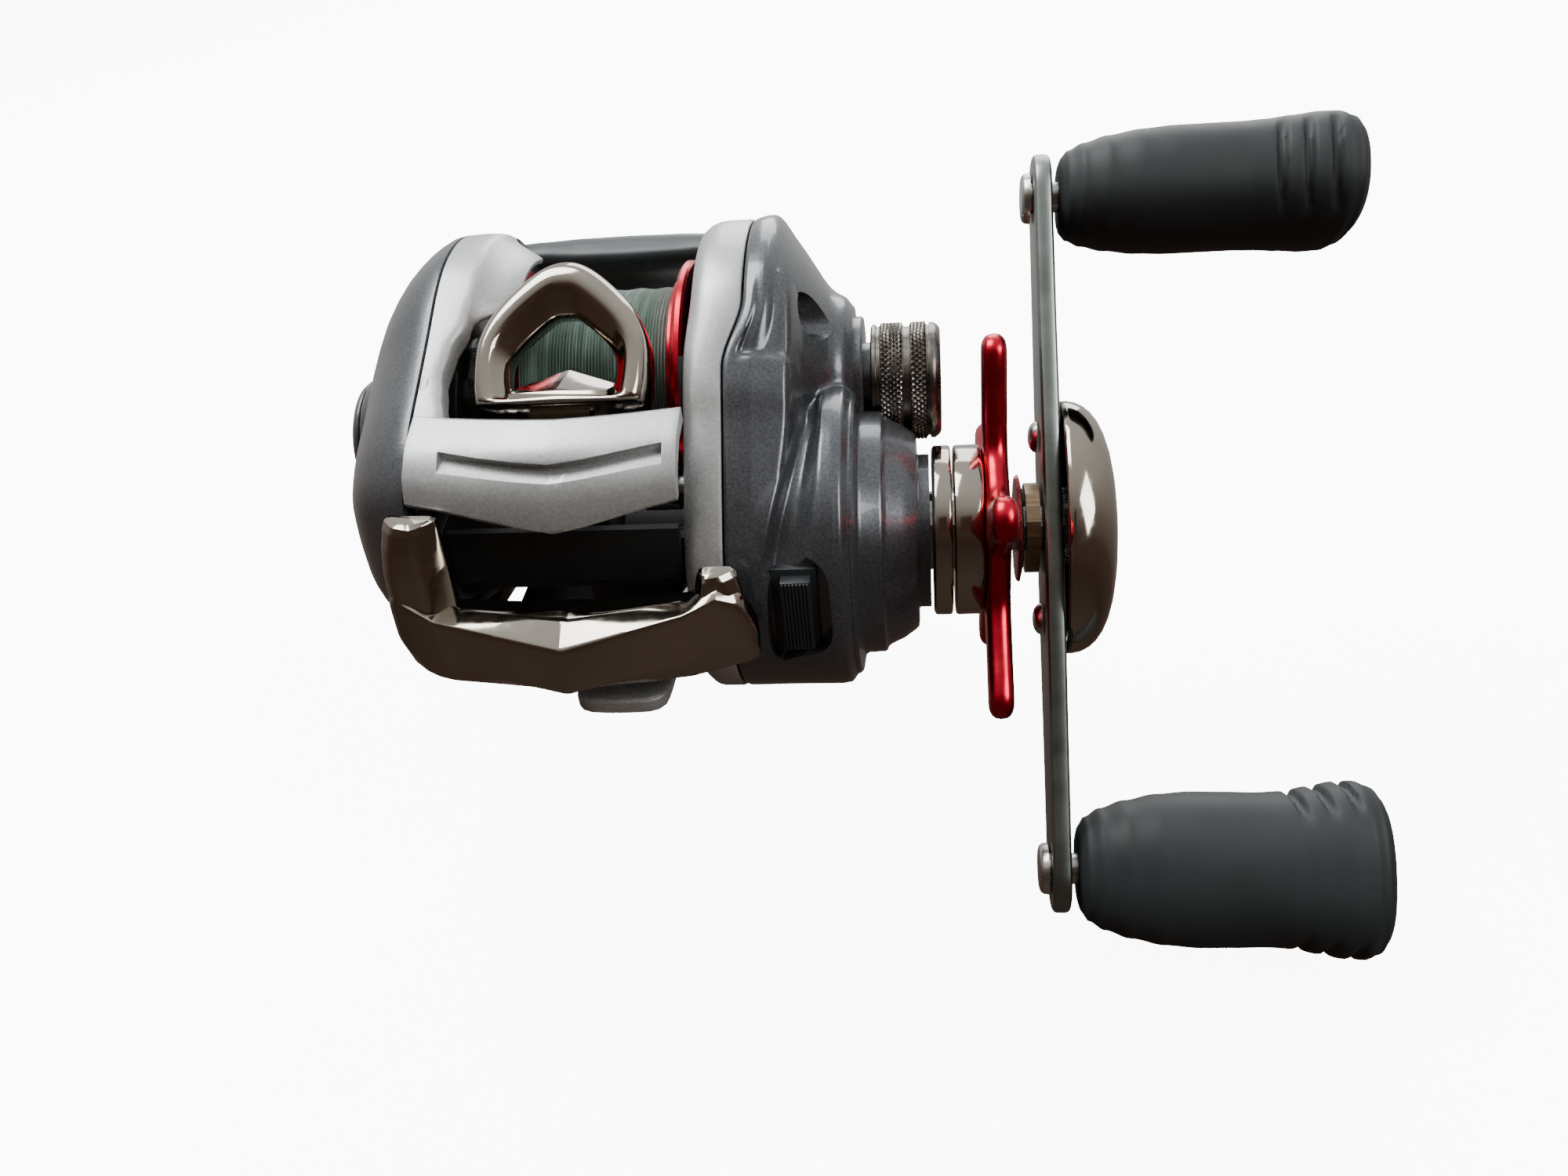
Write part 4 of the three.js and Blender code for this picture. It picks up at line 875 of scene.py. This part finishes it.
# worm with its crossed groove
bm = bmesh.new()
seg, nx = 64, 110
cols = []
for k in range(nx + 1):
    x = -13.6 + 25.6 * k / nx
    ring = []
    for i in range(seg):
        a = 2 * math.pi * i / seg
        g = 0.0
        for s in (1, -1):
            ph = (s * a + 2 * math.pi * x / 6.2) % (2 * math.pi)
            dd = min(ph, 2 * math.pi - ph) / (2 * math.pi) * 6.2
            g = max(g, 1 - smoothstep(0.45, 0.8, dd))
        r = 2.65 - 0.8 * g * (1 if abs(x + 0.8) < 11.8 else 0)
        ring.append((x, WORM[0] + r * math.cos(a), WORM[1] + r * math.sin(a)))
    cols.append(ring)
add_loft(bm, cols)
add_lathe(bm, [(-16.5, 0), (-16.5, 1.6), (-13.6, 1.6), (-13.6, 0)], WORM, 32)
add_lathe(bm, [(12.0, 0), (12.0, 1.6), (18.0, 1.6), (18.0, 0)], WORM, 32)
finish_mesh("worm_screw", bm, M_STEEL, "worm_body", "worm_shaft", angle=40)

# ------------------------------------------------------------------ cast control knob
bm = bmesh.new()
body_prof = [(43.8, 0), (43.8, 6.6), (43.65, 6.95), (43.2, 7.35), (42.9, 7.5), (42.4, 7.5), (42.35, 7.15), (42.1, 7.15), (42.05, 7.3), (39.85, 7.3), (39.8, 7.05), (39.1, 7.05), (39.05, 7.3), (36.0, 7.3), (35.95, 7.15), (35.6, 7.15), (35.5, 7.45), (35.1, 7.45), (34.9, 7.2), (34.9, 5.6), (40.7, 5.6), (40.7, 0)]
add_lathe(bm, body_prof, (0, 0), 128)
for x0, x1 in ((36.05, 39.0), (39.9, 42.0)):
    na, nx = 132, int((x1 - x0) / 0.145)
    cols = []
    for k in range(nx + 1):
        x = x0 + (x1 - x0) * k / nx
        e = 1 if 0 < k < nx else 0
        ring = []
        for i in range(na * 2):
            a = 2 * math.pi * i / (na * 2)
            h = abs(math.sin(a * 33 + (x - x0) * 3.4)) * abs(math.sin(a * 33 - (x - x0) * 3.4))
            r = 7.28 + (0.37 * (1 - (1 - h) ** 1.6) if e else 0)
            ring.append((x, r * math.cos(a), r * math.sin(a)))
        cols.append(ring)
    add_loft(bm, cols)
finish_mesh("knurled_knob", bm, M_GUN, "cast_knob_body", "cast_knob", angle=30)

# ------------------------------------------------------------------ neck, drag housing and star
bm = bmesh.new()
add_lathe(bm, [(42.3, 5.4), (42.3, 10.3), (42.5, 10.7), (42.8, 10.8), (44.35, 10.8), (44.6, 10.7), (44.7, 10.4), (44.7, 5.4)], SH, 128)
finish_mesh("neck_ring", bm, M_CHROME, "frame_side", "neck_collar", angle=50)
bm = bmesh.new()
add_lathe(bm, [(45.0, 5.4), (45.0, 10.4), (45.1, 10.7), (45.4, 10.8), (47.9, 10.8), (48.3, 10.6), (48.6, 10.1), (48.6, 5.4)], SH, 128)
finish_mesh("drag_cap", bm, M_CHROME, "star_body", "drag_housing", angle=50)

bm = bmesh.new()
star = []
for i in range(5):
    a = 35 + 72 * i
    for r, da in ((10.4, -36), (11.6, -17.5), (16.5, -9.8), (21.2, -7.5), (23.5, -5.8), (24.5, -2.3), (24.5, 2.3), (23.5, 5.8), (21.2, 7.5), (16.5, 9.8), (11.6, 17.5)):
        star.append((SH[0] + r * math.cos((a + da) * D), SH[1] + r * math.sin((a + da) * D)))
st = smooth(star, 400)
rings = []
for x, d in ((48.9, 1.9), (48.94, 1.35), (49.1, 0.85), (49.4, 0.42), (49.85, 0.12), (50.65, 0.0), (51.45, 0.12), (51.9, 0.42), (52.2, 0.85), (52.36, 1.35), (52.4, 1.9)):
    rings.append([(x, f, z) for f, z in offset(st, d)])
bore = circle(SH, 3.3, 400)
# caps are rings down to the bore
def match(ringpts, pts):
    out = []
    for f, z in pts:
        a = math.atan2(z - SH[1], f - SH[0])
        out.append((SH[0] + 3.3 * math.cos(a), SH[1] + 3.3 * math.sin(a)))
    return out


b_in = match(None, st)
add_loft(bm, [[(48.9, f, z) for f, z in b_in]] + rings + [[(52.4, f, z) for f, z in b_in], [(48.9, f, z) for f, z in b_in]], caps=False)
for v in bm.verts:
    v.co.x = 0.0443 + (v.co.x - 0.0446) * 0.89
finish_mesh("star_wheel", bm, M_RED, "star_body", "drag_star", angle=40, weld=1e-7)

# ------------------------------------------------------------------ handle
bm = bmesh.new()
out = []
for i in range(17):
    a = (-90 + i * 11.25) * D
    out.append(hp(43.1 + 5.0 * math.cos(a), 5.0 * math.sin(a)))
out += [hp(38, 5.0), hp(26, 5.3), hp(14, 5.9), hp(0, 6.2), hp(-14, 5.9), hp(-26, 5.3), hp(-38, 5.0)]
for i in range(17):
    a = (90 + i * 11.25) * D
    out.append(hp(-43.1 + 5.0 * math.cos(a), 5.0 * math.sin(a)))
out += [hp(-38, -5.0), hp(-26, -5.3), hp(-14, -5.9), hp(0, -6.2), hp(14, -5.9), hp(26, -5.3), hp(38, -5.0)]
ar = smooth(out, 240)
rings = []
for x, d in ((55.9, 0.75), (55.98, 0.4), (56.2, 0.1), (56.5, 0.0), (57.6, 0.0), (57.9, 0.1), (58.12, 0.4), (58.2, 0.75)):
    rings.append([(x, f, z) for f, z in offset(ar, d)])
add_loft(bm, rings)
arm = raw("crank_arm", bm)
arm.data.materials.append(M_ARM)
cut(arm, cylinder_cutter(55, 60, 3.1, SH, 48), cylinder_cutter(55, 60, 2.2, hp(42.7), 32), cylinder_cutter(55, 60, 2.2, hp(-42.7), 32))
shade(arm, 30)
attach(arm, "crank_body"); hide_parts("handle_arm")

bm = bmesh.new()
rings = []
for x, a, b in ((58.5, 15.0, 8.6), (58.5, 15.7, 9.3), (58.7, 16.0, 9.6), (59.4, 16.0, 9.6), (60.4, 15.8, 9.4), (61.4, 15.3, 9.1), (62.3, 14.5, 8.6), (63.1, 13.4, 7.9), (63.8, 11.9, 7.1), (64.4, 9.9, 6.0), (64.8, 7.6, 4.8), (65.05, 5.0, 3.3), (65.2, 2.2, 1.5), (65.22, 0.4, 0.3)):
    rings.append([(x, *hp(a * math.cos(2 * math.pi * i / 96), b * math.sin(2 * math.pi * i / 96))) for i in range(96)])
add_loft(bm, rings, caps=False)
inner_r = []
for x, a, b in ((58.5, 15.0, 8.6), (60.2, 14.8, 8.4), (62.2, 12.6, 6.9), (63.4, 9, 5.2), (63.6, 0.5, 0.4)):
    inner_r.append([(x, *hp(a * math.cos(2 * math.pi * i / 96), b * math.sin(2 * math.pi * i / 96))) for i in range(96)])
add_loft(bm, inner_r, caps=False)
finish_mesh("nut_dome", bm, M_CHROME, "crank_body", "nut_cover", angle=60, weld=1e-6)

for tag, s in (("a", -11.6), ("b", 11.6)):
    bm = bmesh.new()
    add_lathe(bm, [(54.6, 0), (54.62, 0.7), (54.8, 1.35), (55.2, 1.85), (55.65, 2.0), (55.65, 0)], hp(s), 40)
    finish_mesh("rivet_head_" + tag, bm, M_STEEL, "crank_body", "arm_rivet_" + tag)
for tag, s in (("upper", -42.7), ("lower", 42.7)):
    bm = bmesh.new()
    add_lathe(bm, [(54.5, 0), (54.5, 2.4), (54.62, 2.8), (54.95, 3.1), (55.6, 3.2), (55.6, 1.9), (91.0, 1.9), (91.0, 0)], hp(s), 48)
    finish_mesh("pin_head_" + tag, bm, M_STEEL, "crank_body", "knob_pin_" + tag)

PROF = [(0, 4.4, 4.0), (0.35, 5.6, 4.9), (1.1, 6.6, 5.6), (3, 7.7, 6.4), (6, 8.7, 7.1), (10, 9.5, 7.6), (14, 9.8, 7.8), (18, 9.75, 7.8), (22, 9.65, 7.8), (25, 9.8, 7.9), (28, 10.4, 8.1), (31, 11.0, 8.3), (33.2, 11.1, 8.2), (34.8, 10.5, 7.6), (35.8, 9.3, 6.7), (36.2, 7.8, 5.6)]
for tag, s, turn, body in (("upper", -42.7, 36, "upper_knob_body"), ("lower", 42.7, 126, "lower_knob_body")):
    c = hp(s)
    ca, sa = math.cos(turn * D), math.sin(turn * D)
    bm = bmesh.new()
    rings = []
    NS = 150
    for k in range(NS + 1):
        dx = 36.2 * k / NS
        a, b = lerp_tab([(p[0], p[1] * 0.96, p[2] * 0.955) for p in PROF], dx)
        ring = []
        for i in range(72):
            q = 2 * math.pi * i / 72
            u0, v0 = math.cos(q), math.sin(q)
            # slightly squared section
            ex = 0.86
            u = a * math.copysign(abs(u0) ** ex, u0)
            v = b * math.copysign(abs(v0) ** ex, v0)
            g = 0.0
            edge = abs(u0)
            for gx in (25.6, 28.6, 31.6):
                # curved grip grooves, on the two narrow sides only
                gc = gx + 2.2 * (1 - edge) * 0 + 2.6 * (v0 ** 2) * 0.5
                g = max(g, (1 - smoothstep(0.28, 0.75, abs(dx - gc))) * smoothstep(0.62, 0.93, edge))
            k2 = 1 - 0.062 * g
            u, v = u * k2, v * k2
            ring.append((59.2 + dx, c[0] + u * ca - v * sa, c[1] + u * sa + v * ca))
        rings.append(ring)
    # round the outer end in and down to the cap's seat
    last = rings[-1]
    for sc, xx in ((0.9, 95.42), (0.78, 95.42), (0.66, 95.3), (0.6, 94.6), (0.6, 93.6)):
        rings.append([(xx, c[0] + (p[1] - c[0]) * sc, c[1] + (p[2] - c[1]) * sc) for p in last])
    add_loft(bm, rings)
    finish_mesh("grip_" + tag, bm, M_RUBBER, body, "knob_" + tag, angle=40)
    bm = bmesh.new()
    add_lathe(bm, [(93.9, 0), (93.9, 4.2), (95.3, 4.2), (95.6, 3.9), (95.75, 3.2), (95.8, 0)], c, 48)
    finish_mesh("grip_cap_" + tag, bm, M_GREY, body, "knob_cap_" + tag)

# ------------------------------------------------------------------ foot
bm = bmesh.new()
half = [(2.4, 38.2), (4.6, 37.7), (5.6, 36), (5.9, 30), (5.9, 20), (8.2, 12), (8.2, -9), (5.9, -18), (5.9, -29), (5.4, -34.6), (4.4, -36.2), (2.4, -36.6)]
pts = [(4.3 + x, f) for x, f in half] + [(4.3 - x, f) for x, f in reversed(half)]
pts = smooth(pts, 140)
add_loft(bm, [[(x, f, -24) for x, f in pts], [(x, f, -22.4) for x, f in pts], [(x + (4.3 - x) * 0.08, f * 0.99, -22.1) for x, f in pts]])
finish_mesh("seat_foot", bm, M_SILVER, "frame_side", "reel_foot", bevel=0.3)

# ------------------------------------------------------------------ stage, light, camera
bm = bmesh.new()
for x, y in ((-3, -2), (3, -2), (3, 6), (-3, 6)):
    bm.verts.new((x, y, -0.0362))
bm.faces.new(bm.verts)
me = bpy.data.meshes.new("floor"); bm.to_mesh(me); bm.free()
floor = bpy.data.objects.new("floor", me)
bpy.context.scene.collection.objects.link(floor)
m, nt, b = new_mat("floor_white")
v = coords(nt)
nt.links.new(ramp(nt, noise(nt, v, 4, 2), [(0.3, 0.88), (0.7, 0.9)]), b.inputs["Base Color"])
b.inputs["Roughness"].default_value = 0.9
b.inputs["Emission Color"].default_value = (1, 1, 1, 1)
b.inputs["Emission Strength"].default_value = 9.0
floor.data.materials.append(m)
floor.visible_glossy = False
floor.visible_diffuse = False

world = bpy.data.worlds.new("studio")
bpy.context.scene.world = world
world.use_nodes = True
nt = world.node_tree
for n in list(nt.nodes):
    nt.nodes.remove(n)
wo = nt.nodes.new("ShaderNodeOutputWorld")
bg = nt.nodes.new("ShaderNodeBackground")
tc = nt.nodes.new("ShaderNodeTexCoord")
sep = nt.nodes.new("ShaderNodeSeparateXYZ")
nt.links.new(tc.outputs["Generated"], sep.inputs[0])
wy = nt.nodes.new("ShaderNodeMath"); wy.operation = "MULTIPLY_ADD"
nt.links.new(sep.outputs[1], wy.inputs[0]); wy.inputs[1].default_value = 0.33; wy.inputs[2].default_value = 0.5
half = nt.nodes.new("ShaderNodeMath"); half.operation = "MULTIPLY_ADD"
nt.links.new(sep.outputs[2], half.inputs[0]); half.inputs[1].default_value = 0.38; nt.links.new(wy.outputs[0], half.inputs[2])
rz = ramp(nt, half.outputs[0], [(0.0, (0.10, 0.075, 0.062)), (0.28, (0.065, 0.042, 0.034)), (0.46, (0.10, 0.068, 0.055)), (0.56, (0.24, 0.20, 0.18)), (0.70, (0.60, 0.585, 0.56)), (0.85, (0.82, 0.83, 0.82)), (1.0, (0.92, 0.935, 0.94))])
nt.links.new(rz, bg.inputs[0])
bg.inputs[1].default_value = 1.05
nt.links.new(bg.outputs[0], wo.inputs[0])


def area(name, loc, target, size, energy, color=(1, 1, 1), sy=None):
    li = bpy.data.lights.new(name, "AREA")
    li.energy = energy
    li.color = color
    li.size = size
    if sy:
        li.shape = "RECTANGLE"; li.size_y = sy
    ob = bpy.data.objects.new(name, li)
    bpy.context.scene.collection.objects.link(ob)
    ob.location = loc
    dvec = (Vector(target) - Vector(loc)).normalized()
    ob.rotation_euler = dvec.to_track_quat("-Z", "Y").to_euler()
    return ob


area("key", (-0.35, 0.15, 0.75), (0, 0, 0.02), 0.5, 9.0)
area("fill", (0.6, -0.35, 0.55), (0.02, 0, 0.02), 0.35, 3.5)
area("back", (0.1, 0.8, 0.4), (0.0, 0, 0.02), 0.6, 5.0)


def card(name, loc, target, w, h, color, emit=0.0):
    """A dark or bright board out of view that the polished parts reflect."""
    bm = bmesh.new()
    for x, y in ((-w / 2, -h / 2), (w / 2, -h / 2), (w / 2, h / 2), (-w / 2, h / 2)):
        bm.verts.new((x, y, 0))
    bm.faces.new(bm.verts)
    me = bpy.data.meshes.new(name); bm.to_mesh(me); bm.free()
    ob = bpy.data.objects.new(name, me)
    bpy.context.scene.collection.objects.link(ob)
    dvec = (Vector(target) - Vector(loc)).normalized()
    ob.matrix_world = Matrix.Translation(loc) @ dvec.to_track_quat("-Z", "Y").to_matrix().to_4x4()
    m, nt, b = new_mat(name + "_mat")
    v = coords(nt)
    nt.links.new(ramp(nt, noise(nt, v, 8, 3), [(0.3, tuple(c * 0.85 for c in color)), (0.7, color)]), b.inputs["Base Color"])
    b.inputs["Roughness"].default_value = 0.9
    me.materials.append(m)
    ob.visible_camera = False
    ob.visible_shadow = False
    ob.visible_diffuse = False
    return ob


# a warm dark shape above and in front, as of the person and phone that the chrome mirrors
card("front_card", (0.04, -0.36, 0.30), (0.0, 0, 0.02), 0.20, 0.16, (0.10, 0.055, 0.04))

e0, psi, th = 35 * D, 6.4 * D, 1.25 * D
d = Vector((0, math.cos(e0), -math.sin(e0)))
r = Vector((1, 0, 0))
u = Vector((0, math.sin(e0), math.cos(e0)))
o = d * math.cos(psi) - r * math.sin(psi)
rp = r * math.cos(psi) + d * math.sin(psi)
rc = rp * math.cos(th) - u * math.sin(th)
uc = u * math.cos(th) + rp * math.sin(th)
cam = bpy.data.cameras.new("camera")
cam.lens = 29.52
cam.sensor_width = 36
cam.clip_start = 0.01
co = bpy.data.objects.new("camera", cam)
bpy.context.scene.collection.objects.link(co)
mw = Matrix((( rc.x, uc.x, -o.x, 0.0373), (rc.y, uc.y, -o.y, -0.1547), (rc.z, uc.z, -o.z, 0.0995), (0, 0, 0, 1)))
co.matrix_world = mw
bpy.context.scene.camera = co
